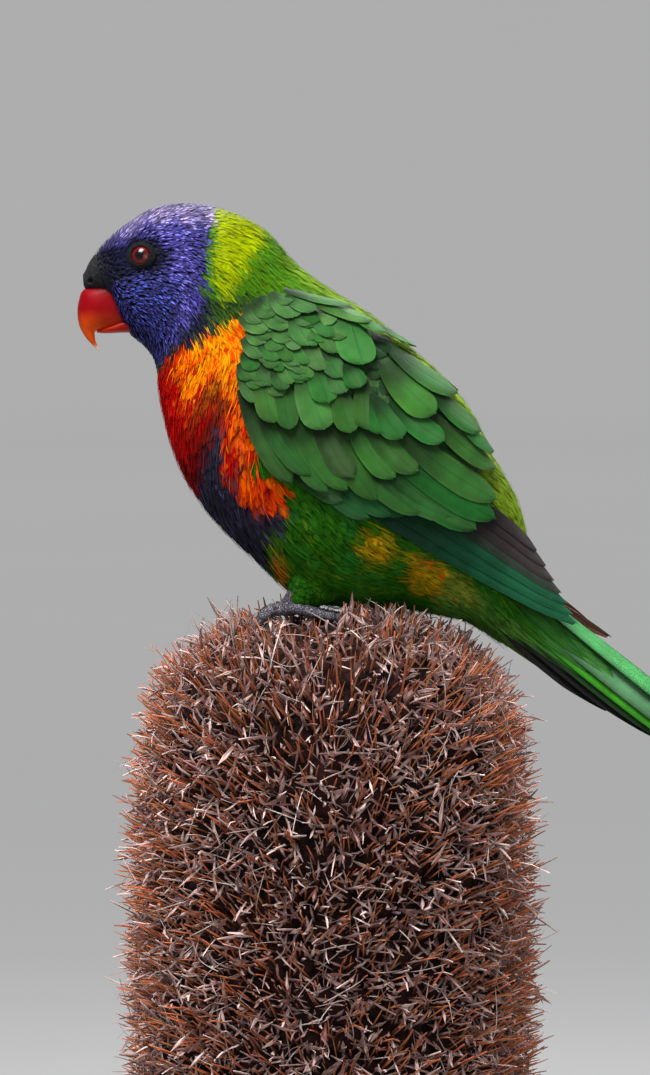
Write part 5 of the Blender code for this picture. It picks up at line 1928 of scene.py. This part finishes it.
@dataclass
class Face:
    """Bill, cere with nostrils, eyes and lids."""

    eye_radius: float = 4.2
    eye_depth: float = 3.0
    nostril_depth: float = 1.1
    nostril_rim: float = 0.28
    lid_sides: int = 56

    def build(self) -> None:
        """Makes every piece of the face."""
        self.build_bill()
        self.build_cere()
        for side in Side:
            self.build_eye(side)
            self.build_lids(side)

    def build_bill(self) -> None:
        """Makes the upper and the lower bill."""
        upper = BillFinish(
            "bill_upper_horn", tuple(colour(124, 0, 8)), tuple(colour(232, 84, 2)), -66.0, -76.0, 97.5, 88.5,
        )
        lower = BillFinish(
            "bill_lower_horn", tuple(colour(120, 0, 10)), tuple(colour(190, 40, 4)), -62.0, -72.0, 94.0, 90.0,
            point_z=60.0,
        )
        for name, form, finish, rings in (
            ("bill_upper_horn", BILL_UPPER, upper, 60), ("bill_lower_horn", BILL_LOWER, lower, 36),
        ):
            t = np.linspace(0.0, form.last, rings)
            angle = np.linspace(-math.pi, math.pi, 40, endpoint=False)
            grid = np.meshgrid(t, angle, indexing="ij")
            places = form.points(grid[0], grid[1])
            pinch = 1.0 - 0.12 * np.cos(grid[1])[..., None] * np.array((0.0, 1.0, 0.0))
            item = loft_object(name, places * pinch)
            settle(dress(item, finish), name, "bill", name.replace("_horn", ""))

    def build_cere(self) -> None:
        """Makes the cere, with a rimmed nostril on each side."""
        t = np.linspace(0.0, CERE_END + 0.45, 40)
        angle = np.linspace(-math.pi, math.pi, 72, endpoint=False)
        grid = np.meshgrid(t, angle, indexing="ij")
        inset = -0.25 * smoothstep(CERE_END - 0.3, CERE_END + 0.45, grid[0])
        places = BODY.points(grid[0], grid[1], inset)
        centre = places.mean(axis=1, keepdims=True)
        distance = distance_in_view(places, NOSTRIL_SIDE_VIEW)
        flank = np.abs(np.sin(grid[1])) > 0.35
        hole = self.nostril_depth * smoothstep(1.0, 0.35, distance)
        rim = self.nostril_rim * np.exp(-((distance - 1.25) / 0.4) ** 2)
        hollow = np.where(flank, hole - rim, 0.0)
        inwards = centre - places
        inwards /= np.maximum(np.linalg.norm(inwards, axis=-1, keepdims=True), 1e-6)
        item = loft_object("cere", places + inwards * hollow[..., None])
        finish = GrainFinish(
            "cere_skin", tuple(colour(8, 8, 10)), tuple(colour(34, 31, 34)), scale=900.0, roughness=0.7,
            relief=0.0004, relief_scale=2200.0, specular=0.25,
        )
        settle(dress(item, finish), "cere_bare", "cere_skin", "cere")

    def build_eye(self, side: Side) -> None:
        """Makes one eyeball with its iris and pupil.

        Args:
            side: Its side.
        """
        surface, normal = eye_place(side)
        centre = surface - normal * self.eye_depth
        deselect_all()
        bpy.ops.mesh.primitive_uv_sphere_add(segments=48, ring_count=32, radius=self.eye_radius * MM)
        item = bpy.context.object
        bpy.ops.object.mode_set(mode="EDIT")
        bpy.ops.mesh.select_all(action="SELECT")
        bpy.ops.mesh.subdivide(number_cuts=1, smoothness=1.0)
        bpy.ops.object.mode_set(mode="OBJECT")
        turn = Vector(normal).to_track_quat("Z", "Y").to_matrix().to_4x4()
        item.data.transform(Matrix.Translation(Vector(world(centre))) @ turn)
        item.data.shade_smooth()
        item.data.materials.append(self.eye_material(side, world(centre), normal))
        settle(item, "eyeball_" + side.label, "eye", "eye_" + side.label)

    def eye_material(self, side: Side, centre: np.ndarray, normal: np.ndarray) -> bpy.types.Material:
        """Makes an eye's material: dark pupil, brown-red iris that is brightest at its rim, dark white.

        Args:
            side: Side of the eye.
            centre: Centre of the eyeball, in metres.
            normal: Outward direction of the pupil.

        Returns:
            The material.
        """
        paint_kit = Paint("eye_" + side.label + "_gloss")
        tree = paint_kit.tree
        away = {0: tree.place(), 1: tuple(centre)}
        away = tree.add("ShaderNodeVectorMath", away, operation="SUBTRACT").outputs[0]
        along = {0: away, 1: tuple(normal)}
        along = tree.add("ShaderNodeVectorMath", along, operation="DOT_PRODUCT").outputs["Value"]
        share = tree.math("DIVIDE", along, self.eye_radius * MM)
        share = tree.math("ADD", share, tree.waver(tree.noise(2200.0, 4.0), 0.02))
        dark_iris, iris, pupil, white = (opaque(colour(*tone)) for tone in EYE_TONES)
        tone = tree.mix(tree.ramp(share, 0.95, 0.84), dark_iris, iris)
        tone = tree.mix(tree.ramp(share, 0.94, 0.955), tone, pupil)
        tone = tree.mix(tree.ramp(share, 0.80, 0.745), tone, white)
        return paint_kit.finish(
            tone, Roughness=0.2, Specular_IOR_Level=0.2, Coat_Weight=0.3, Coat_Roughness=0.02,
        )

    def build_lids(self, side: Side) -> None:
        """Makes the ring of bare skin and the lids round an eye.

        Args:
            side: Side of the eye.
        """
        surface, normal = eye_place(side)
        turn = np.array(Vector(normal).to_track_quat("Z", "Y").to_matrix())
        centre = surface - normal * self.eye_depth
        rings = []
        for k in range(self.lid_sides):
            a = TURN * k / self.lid_sides
            ring = []
            for reach, height in LID_PROFILE:
                oval = 1.0 + (0.12 * math.cos(a) ** 2 - 0.06) * smoothstep(2.6, 5.0, reach)
                wrinkle = 0.05 * math.sin(14 * a) * smoothstep(3.0, 4.4, reach)
                height = height + self.eye_depth + wrinkle
                ring.append(centre + turn @ (reach * oval * math.cos(a), reach * oval * math.sin(a), height))
            rings.append(ring)
        rings.append(rings[0])
        item = loft_object("lids", np.array(rings), False)
        deselect_all()
        bpy.context.view_layer.objects.active = item
        item.select_set(True)
        bpy.ops.object.mode_set(mode="EDIT")
        bpy.ops.mesh.select_all(action="SELECT")
        bpy.ops.mesh.remove_doubles(threshold=0.00001)
        bpy.ops.mesh.normals_make_consistent(inside=False)
        bpy.ops.object.mode_set(mode="OBJECT")
        smooth = item.modifiers.new("Round", "SUBSURF")
        smooth.levels = smooth.render_levels = 1
        apply_modifier(item, smooth)
        finish = GrainFinish(
            "lid_skin_" + side.label, tuple(colour(2, 2, 5)), tuple(colour(12, 10, 15)), scale=1500.0,
            roughness=0.8, relief=0.0005, relief_scale=2600.0, specular=0.2,
        )
        settle(dress(item, finish), "lids_" + side.label, "cere_skin")


# Feet
TARSUS = ((-10.0, 0.0, 12.5, 2.0), (-12.4, 0.0, 8.0, 2.0), (-13.8, 0.0, 5.6, 2.1), (-14.8, 0.0, 4.2, 2.3))
TOES = (
    ((-14.5, 0.5, 4.4, 1.9), (-19.0, 3.0, 3.6, 1.8), (-22.6, 4.5, 0.4, 1.6), (-24.3, 5.2, -3.8, 1.2)),
    ((-14.5, -0.5, 4.4, 1.9), (-18.6, -3.0, 3.8, 1.8), (-21.8, -4.6, 0.9, 1.6), (-23.3, -5.2, -3.0, 1.2)),
    ((-14.5, 0.8, 4.2, 1.9), (-9.5, 3.4, 4.2, 1.8), (-3.5, 4.8, 2.8, 1.6), (2.8, 5.5, 1.5, 1.2)),
    ((-14.5, -0.8, 4.2, 1.9), (-10.5, -3.2, 4.0, 1.7), (-6.0, -4.4, 2.8, 1.5), (-2.0, -5.0, 1.3, 1.2)),
)


@dataclass
class Foot:
    """Scaly foot with two toes forward and two back, and its claws."""

    side: Side
    leg_line: float = 11.0
    claw_length: float = 6.2
    claw_drop: float = 3.0
    voxel: float = 0.00028
    sides: int = 20
    claw_sides: int = 14

    def placed(self, points: tuple) -> np.ndarray:
        """Moves a leg or toe to this foot's place.

        Args:
            points: Its points and radii.

        Returns:
            The moved points and radii.
        """
        points = np.array(points, float)
        points[:, 1] = self.side.value * (self.leg_line + points[:, 1])
        return points

    def build(self) -> None:
        """Makes the foot and its claws."""
        parts = [loft_object("shank", tube(smooth_path(self.placed(TARSUS), 16), self.sides))]
        for toe in TOES:
            path = smooth_path(self.placed(toe), 44)
            steps = np.linspace(0.0, 1.0, len(path))
            path[:, 3] *= 1.0 + 0.07 * np.sin(steps * TURN * 7.5) + 0.10 * np.sin(steps * TURN * 2.5)
            parts.append(loft_object("toe", tube(path, self.sides)))
        item = join(parts, "foot")
        weld(item, self.voxel, 3)
        item.data.shade_smooth()
        item.data.materials.append(self.scales())
        settle(item, "foot_skin_" + self.side.label, "foot_skin", "foot_" + self.side.label)
        claws = []
        for toe in TOES:
            end = self.placed(toe)[-2:]
            run = (end[1] - end[0])[:3]
            run /= np.linalg.norm(run)
            path = []
            for f in np.linspace(-0.15, 1.0, 14):
                spot = end[1][:3] + run * self.claw_length * f
                spot[2] -= self.claw_drop * max(f, 0.0) ** 2
                path.append((*spot, end[1][3] * (0.86 - 0.80 * max(f, 0.0) ** 1.2)))
            claws.append(loft_object("claw", tube(np.array(path), self.claw_sides)))
        finish = GrainFinish(
            "claw_horn_" + self.side.label, tuple(colour(16, 15, 18)), tuple(colour(44, 40, 42)), scale=500.0,
            roughness=0.3, relief=0.0001, coat=0.3,
        )
        settle(dress(join(claws, "claws"), finish), "claws_" + self.side.label, "foot_skin")

    def scales(self) -> bpy.types.Material:
        """Makes the material of the foot's scaly skin.

        Returns:
            The material.
        """
        paint_kit = Paint("foot_scales_" + self.side.label)
        tree = paint_kit.tree
        cells = {"Vector": tree.place(), "Scale": 1300.0}
        cells = tree.add("ShaderNodeTexVoronoi", cells, feature="DISTANCE_TO_EDGE").outputs["Distance"]
        raised = tree.ramp(cells, 0.0, 0.16)
        groove, dark, light = (opaque(colour(*tone)) for tone in SCALE_TONES)
        worn = tree.mix(tree.ramp(tree.noise(350.0, 4.0), 0.35, 0.7), dark, light)
        return paint_kit.finish(tree.mix(raised, groove, worn), raised, 0.0003, Roughness=0.5)


# Spike
CORE_PROFILE = (
    (53.5, -70.0), (52.0, -45.0), (49.0, -28.0), (43.5, -15.5), (35.0, -7.5), (25.0, -2.8), (13.0, 0.2),
    (0.0, 0.8),
)
SPIKE_LOW = -148.0
SPIKE_HEIGHT = 150.0
SPIKE_MARGIN = 0.6
TOE_MARGIN = 0.5
TRODDEN_REACH = (15.0, 22.0)
TRODDEN_MIDDLE = (-12.0, 26.0)
TRODDEN_HEIGHT = 2.2
CROWN = (-30.0, 0.0)
GOLDEN_SHARE = 3.0 - math.sqrt(5.0)
UPWARDS = np.array((0.0, 0.0, 1.0))
BRISTLE_TONES = (colour(130, 78, 48), colour(208, 110, 72), colour(222, 158, 98), colour(198, 124, 86))
# The scraps' second colours, up to near white, run along their middles: partly their pale colour and partly a
# painted highlight on the curls
SCRAP_TONES = (colour(116, 70, 66), colour(212, 178, 170), colour(166, 120, 114), colour(242, 226, 220))
THREAD_TONES = (colour(150, 120, 112), colour(214, 200, 192), colour(170, 140, 130), colour(226, 214, 208))


class StripKind(Enum):
    """Kinds of strips that cover the spike."""

    BRISTLE = 0
    SCRAP = 1
    THREAD = 2


@dataclass
class Spike:
    """Dry banksia spike: dark core, stiff bristles, curled scraps between them and loose threads."""

    bristles: int = 5200
    scraps: int = 5100
    threads: int = 1300
    length: float = 14.0
    top_length: float = 9.5
    radius: float = 0.24
    crown_from: float = -16.0
    core_rings: int = 110
    core_sides: int = 180
    draw: np.random.Generator = field(default_factory=lambda: np.random.default_rng(SEED + 40))

    def profile(self) -> np.ndarray:
        """Radius and height of the core from its foot to its crown."""
        return np.array(((53.5, SPIKE_LOW),) + CORE_PROFILE, float)

    def roots(self, count: int) -> tuple:
        """Even places over the core.

        Args:
            count: Number of places.

        Returns:
            Points and outward directions.
        """
        profile = self.profile()
        steps = np.hypot(*np.diff(profile, axis=0).T)
        along = np.concatenate(([0.0], np.cumsum(steps)))
        fine = np.linspace(0.0, along[-1], 800)
        radius = np.interp(fine, along, profile[:, 0])
        height = np.interp(fine, along, profile[:, 1])
        area = np.concatenate(([0.0], np.cumsum((radius[1:] + radius[:-1]) / 2)))
        place = np.interp((np.arange(count) + self.draw.random(count)) / count, area / area[-1], fine)
        turn = np.arange(count) * math.pi * GOLDEN_SHARE + self.draw.uniform(-0.5, 0.5, count)
        r = np.interp(place, fine, radius)
        z = np.interp(place, fine, height)
        slope_r = np.interp(place, fine, np.gradient(radius, fine))
        slope_z = np.interp(place, fine, np.gradient(height, fine))
        outward = np.stack((slope_z * np.cos(turn), slope_z * np.sin(turn), -slope_r), -1)
        return np.stack((r * np.cos(turn), r * np.sin(turn), z), -1), outward

    def clear(self, tips: np.ndarray) -> np.ndarray:
        """Tells which strips stay out of the bird.

        Args:
            tips: A point of each strip.

        Returns:
            Whether each point stays out of it.
        """
        ok = np.ones(len(tips), bool)
        for form in (BODY, WING):
            t, _ = form.locate(tips[:, 0], tips[:, 2])
            middle, up, half, width = form.rows(t)
            along = (tips[:, 0] - middle[:, 0]) * up[:, 0] + (tips[:, 2] - middle[:, 1]) * up[:, 1]
            ok &= (along / (half + SPIKE_MARGIN)) ** 2 + (tips[:, 1] / (width + SPIKE_MARGIN)) ** 2 > 1.0
        for side in Side:
            foot = Foot(side)
            for path in TOES + (TARSUS,):
                for x, y, z, r in smooth_path(foot.placed(path), 9):
                    ok &= np.linalg.norm(tips - (x, y, z), axis=1) > r + TOE_MARGIN
        trodden = tips[:, 2] > TRODDEN_HEIGHT
        for place, middle, reach in zip((tips[:, 0], np.abs(tips[:, 1])), TRODDEN_MIDDLE, TRODDEN_REACH):
            trodden &= np.abs(place - middle) < reach
        return ok & ~trodden

    def lay_strips(self, root: np.ndarray, aim: np.ndarray, length: np.ndarray, width: np.ndarray,
                   bend: np.ndarray, shape: Vane, flat: np.ndarray) -> np.ndarray:
        """Bends copies of a strip along their aims.

        Args:
            root: Start of each copy.
            aim: Unit direction of each copy.
            length: Length of each copy.
            width: Half width of each copy.
            bend: Share of the length by which each copy's end bends aside.
            shape: The strip's shape.
            flat: Direction that lies near the plane of each copy.

        Returns:
            Points of each copy.
        """
        share = shape.places[None, :, 1]
        side = np.cross(aim, flat)
        side /= np.maximum(np.linalg.norm(side, axis=1, keepdims=True), 1e-6)
        up = np.cross(side, aim)
        spots = root[:, None] + aim[:, None] * (share * length[:, None])[..., None]
        spots = spots + bend[:, None] * (share ** 2 * length[:, None])[..., None]
        spots = spots + side[:, None] * (shape.places[None, :, 0] * width[:, None])[..., None]
        return spots + up[:, None] * (shape.places[None, :, 2] * width[:, None])[..., None]

    def build_strips(self, name: str, count: int, kind: StripKind, finish: FeatherFinish,
                     hues: tuple) -> None:
        """Makes the bristles, the curled scraps between them, or the loose threads.

        Args:
            name: Name of the piece.
            count: Number of strips before those that touch the bird are left out.
            kind: Their kind.
            finish: Their finish.
            hues: Two base colours and two second colours that they lie between.
        """
        root, outward = self.roots(count)
        wild = self.draw.normal(0.0, 1.0, (count, 3))
        crown = smoothstep(*CROWN, root[:, 2])[:, None]
        if kind is StripKind.BRISTLE:
            aim = outward + UPWARDS * (0.42 + 0.35 * crown) + wild * 0.17
            length = np.where(root[:, 2] > self.crown_from, self.top_length, self.length)
            length = length * self.draw.uniform(0.72, 1.12, count)
            width = self.draw.uniform(0.8, 1.15, count) * self.radius
            bend = self.draw.normal(0.0, 0.06, (count, 3))
            start = root - outward * 1.5
            shape = Vane((1.0, 0.95, 0.85, 0.7), 1, 4, thickness=1.5, camber=0.0, tip_start=0.6)
        elif kind is StripKind.THREAD:
            aim = outward * 0.6 + wild * 0.8
            length = self.draw.uniform(7.0, 13.0, count)
            width = self.draw.uniform(0.09, 0.15, count)
            bend = self.draw.normal(0.0, 0.45, (count, 3)) - outward * 0.45
            start = root + outward * self.draw.uniform(2.0, 6.5, count)[:, None]
            shape = Vane((1.0, 1.0, 0.9), 1, 6, thickness=1.4, camber=0.0, tip_start=0.8, crowding=1.0)
        else:
            aim = outward * 0.9 + wild * 0.75
            length = self.draw.uniform(3.6, 7.6, count)
            width = self.draw.uniform(0.44, 1.02, count)
            bend = self.draw.normal(0.0, 0.35, (count, 3))
            depth = self.draw.uniform(-1.0, 7.0, count)[:, None]
            start = root + outward * depth * (1.0 - 0.5 * crown)
            shape = Vane(
                (0.25, 0.9, 1.0, 0.9), 2, 2, thickness=0.25, camber=0.5, tip_start=0.4, tip_powers=(1.5, 0.8),
            )
        aim /= np.linalg.norm(aim, axis=1, keepdims=True)
        tips = start + (aim + bend) * length[:, None]
        middles = start + (aim * 0.5 + bend * 0.25) * length[:, None]
        ok = self.clear(tips) & self.clear(middles)
        spots = self.lay_strips(start, aim, length, width, bend, shape, wild + (0.3, 0.2, 0.9))[ok]
        share = self.draw.random((count, 1))[ok]
        tint = hues[0] * (1 - share) + hues[1] * share
        tint = tint * self.draw.uniform(0.7, 1.2, (len(tint), 1))
        accent = hues[2] * (1 - share) + hues[3] * share
        turn = np.arctan2(root[ok, 1], root[ok, 0]) / TURN + 0.5
        high = (root[ok, 2] - SPIKE_LOW) / SPIKE_HEIGHT
        bake = bake_places(turn, high, shape.vane)
        sheaf = Sheaf()
        sheaf.add(spots, shape.faces, shape.vane, bake, tint, accent)
        settle(sheaf.build(name, finish.make(), 60.0), name, "dry_flower_spike")

    def build(self) -> None:
        """Makes the core, the bristles, the scraps and the threads."""
        profile = self.profile()
        steps = np.concatenate(([0.0], np.cumsum(np.hypot(*np.diff(profile, axis=0).T))))
        fine = np.linspace(0.0, steps[-1] - 0.4, self.core_rings)
        radius, height = np.interp(fine, steps, profile[:, 0]), np.interp(fine, steps, profile[:, 1])
        turn = np.linspace(0.0, TURN, self.core_sides, endpoint=False)
        grid = np.meshgrid(turn * 60.0, turn * 0.0, indexing="ij")
        rough = 1.0 + 0.02 * ripple(*grid, turn * 31.0, 3.0, 1.0)[:, 0]
        rings = []
        for k, (r, z) in enumerate(zip(radius, height)):
            wave = 1.0 + 0.012 * np.sin(turn * 40.0 + 1.57 * (k % 4)) * rough
            x, y = r * wave * np.cos(turn), r * wave * np.sin(turn)
            rings.append(np.stack((x, y, np.full_like(turn, z)), -1))
        item = loft_object("core", np.array(rings))
        finish = GrainFinish(
            "spike_core", tuple(colour(10, 6, 7)), tuple(colour(48, 28, 26)), scale=260.0, roughness=0.95,
            relief=0.0015, relief_scale=500.0, specular=0.1,
        )
        settle(dress(item, finish), "spike_core", "dry_flower_spike", "perch_spike")
        bristle = FeatherFinish(
            "bristle", 1.0, 0.0, 0.7, 2.0, 0.05, 0.0, 1.0, 1.0, 0.35, 0.7, 0.6, 0.0, 0.00001,
        )
        scrap = FeatherFinish(
            "curled_scrap", 0.9, -0.2, 0.6, 3.0, 0.12, 1.0, 1.0, 0.9, 0.55, 0.6, 0.6, 0.0, 0.00002,
        )
        for name, count, kind, strip, hues in (
            ("bristles", self.bristles, StripKind.BRISTLE, bristle, BRISTLE_TONES),
            ("scraps_first", self.scraps, StripKind.SCRAP, scrap, SCRAP_TONES),
            ("scraps_second", self.scraps, StripKind.SCRAP, scrap, SCRAP_TONES),
            ("threads", self.threads, StripKind.THREAD, scrap, THREAD_TONES),
        ):
            self.build_strips("spike_" + name, count, kind, strip, hues)


# Stand
@dataclass
class Stand:
    """Dark wooden base and brushed rod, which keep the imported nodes' shapes."""

    def build(self, nodes: dict) -> None:
        """Dresses the base and the rod.

        Args:
            nodes: Packed objects by name.
        """
        wood = GrainFinish(
            "base_wood", tuple(colour(24, 17, 14)), tuple(colour(58, 40, 30)), scale=60.0, detail=8.0,
            roughness=0.38, relief=0.0001, relief_scale=300.0, coat=0.35, stretch=(1.0, 9.0, 1.0),
        )
        steel = GrainFinish(
            "rod_brushed", tuple(colour(150, 150, 154)), tuple(colour(196, 196, 200)), scale=200.0,
            detail=6.0, roughness=0.3, relief=0.00003, relief_scale=900.0, metallic=1.0,
            stretch=(1.0, 1.0, 18.0),
        )
        for node, finish in (("stand_base", wood), ("stand_rod", steel)):
            dress(nodes[node], finish)


# Studio
@dataclass
class Studio:
    """Pale seamless floor, soft lights and the camera at the photograph's view."""

    distance: float = 2.5
    aim: tuple = (-0.0022, 0.0, 0.2042)
    elevation: float = 1.2
    frame_height: float = 0.33325
    spread: float = 75.0
    lights_aim: tuple = (0.0, 0.0, 0.22)
    floor_width: float = 16.0
    floor_front: float = -8.0
    floor_depth: float = 15.5
    floor_rise: float = 4.2
    sky_colour: tuple = (0.92, 0.94, 1.0, 1.0)
    sky_strength: float = 0.3

    def build(self) -> None:
        """Makes the floor, the lights and the camera."""
        self.build_floor()
        self.build_light("key", (-0.35, -0.55, 1.45), 0.7, 8.5)
        self.build_light("rim", (0.25, 0.85, 1.15), 0.8, 5.0)
        self.build_light("fill", (0.6, -1.6, 0.5), 1.2, 1.8)
        sky = bpy.data.worlds.new("studio")
        sky.use_nodes = True
        glow = {"Color": self.sky_colour, "Strength": self.sky_strength}
        Tree(sky.node_tree).feed(sky.node_tree.nodes["Background"], glow)
        bpy.context.scene.world = sky
        camera = bpy.data.objects.new("camera", bpy.data.cameras.new("camera"))
        bpy.context.scene.collection.objects.link(camera)
        lean = math.radians(self.elevation)
        back = Vector((0.0, -math.cos(lean), math.sin(lean))) * self.distance
        camera.location = Vector(self.aim) + back
        camera.rotation_euler = (-back).to_track_quat("-Z", "Y").to_euler()
        camera.data.lens = camera.data.sensor_width * self.distance / self.frame_height
        camera.data.clip_end = 50.0
        bpy.context.scene.camera = camera
        bpy.context.scene.view_settings.view_transform = "Standard"

    def build_floor(self) -> None:
        """Makes the floor, which curves up behind."""
        deselect_all()
        bpy.ops.mesh.primitive_grid_add(x_subdivisions=2, y_subdivisions=60, size=1.0)
        item = bpy.context.object
        for vertex in item.data.vertices:
            y = vertex.co.y + 0.5
            run = self.floor_front + self.floor_depth * min(y / 0.55, 1.0)
            rise = max(y - 0.45, 0.0) / 0.55
            vertex.co = (vertex.co.x * self.floor_width, run, self.floor_rise * rise ** 1.9)
        item.name = "floor"
        item.data.shade_smooth()
        finish = GrainFinish(
            "floor_paper", tuple(colour(82, 82, 83)), tuple(colour(86, 86, 87)), scale=3.0, roughness=0.9,
            relief=0.00001, specular=0.0, glow=0.39,
        )
        dress(item, finish)

    def build_light(self, name: str, place: tuple, size: float, power: float) -> None:
        """Adds a soft light that points at the bird.

        Args:
            name: Its name.
            place: Its place, in metres.
            size: Its width, in metres.
            power: Its power, in watts.
        """
        data = bpy.data.lights.new(name, "AREA")
        data.size = size
        data.energy = power
        data.spread = math.radians(self.spread)
        lamp = bpy.data.objects.new(name, data)
        bpy.context.scene.collection.objects.link(lamp)
        lamp.location = place
        aim = Vector(self.lights_aim) - Vector(place)
        lamp.rotation_euler = aim.to_track_quat("-Z", "Y").to_euler()


def main() -> None:
    """Builds the sub-assemblies in order."""
    logging.basicConfig(level=logging.INFO, format="%(message)s")
    Studio().build()
    Skin().build()
    Coat().build()
    for side in Side:
        Wing(side).build()
    Tail().build()
    Face().build()
    for side in Side:
        Foot(side).build()
    Spike().build()
    Stand().build(frame["nodes"])


if __name__ == "__main__":
    main()
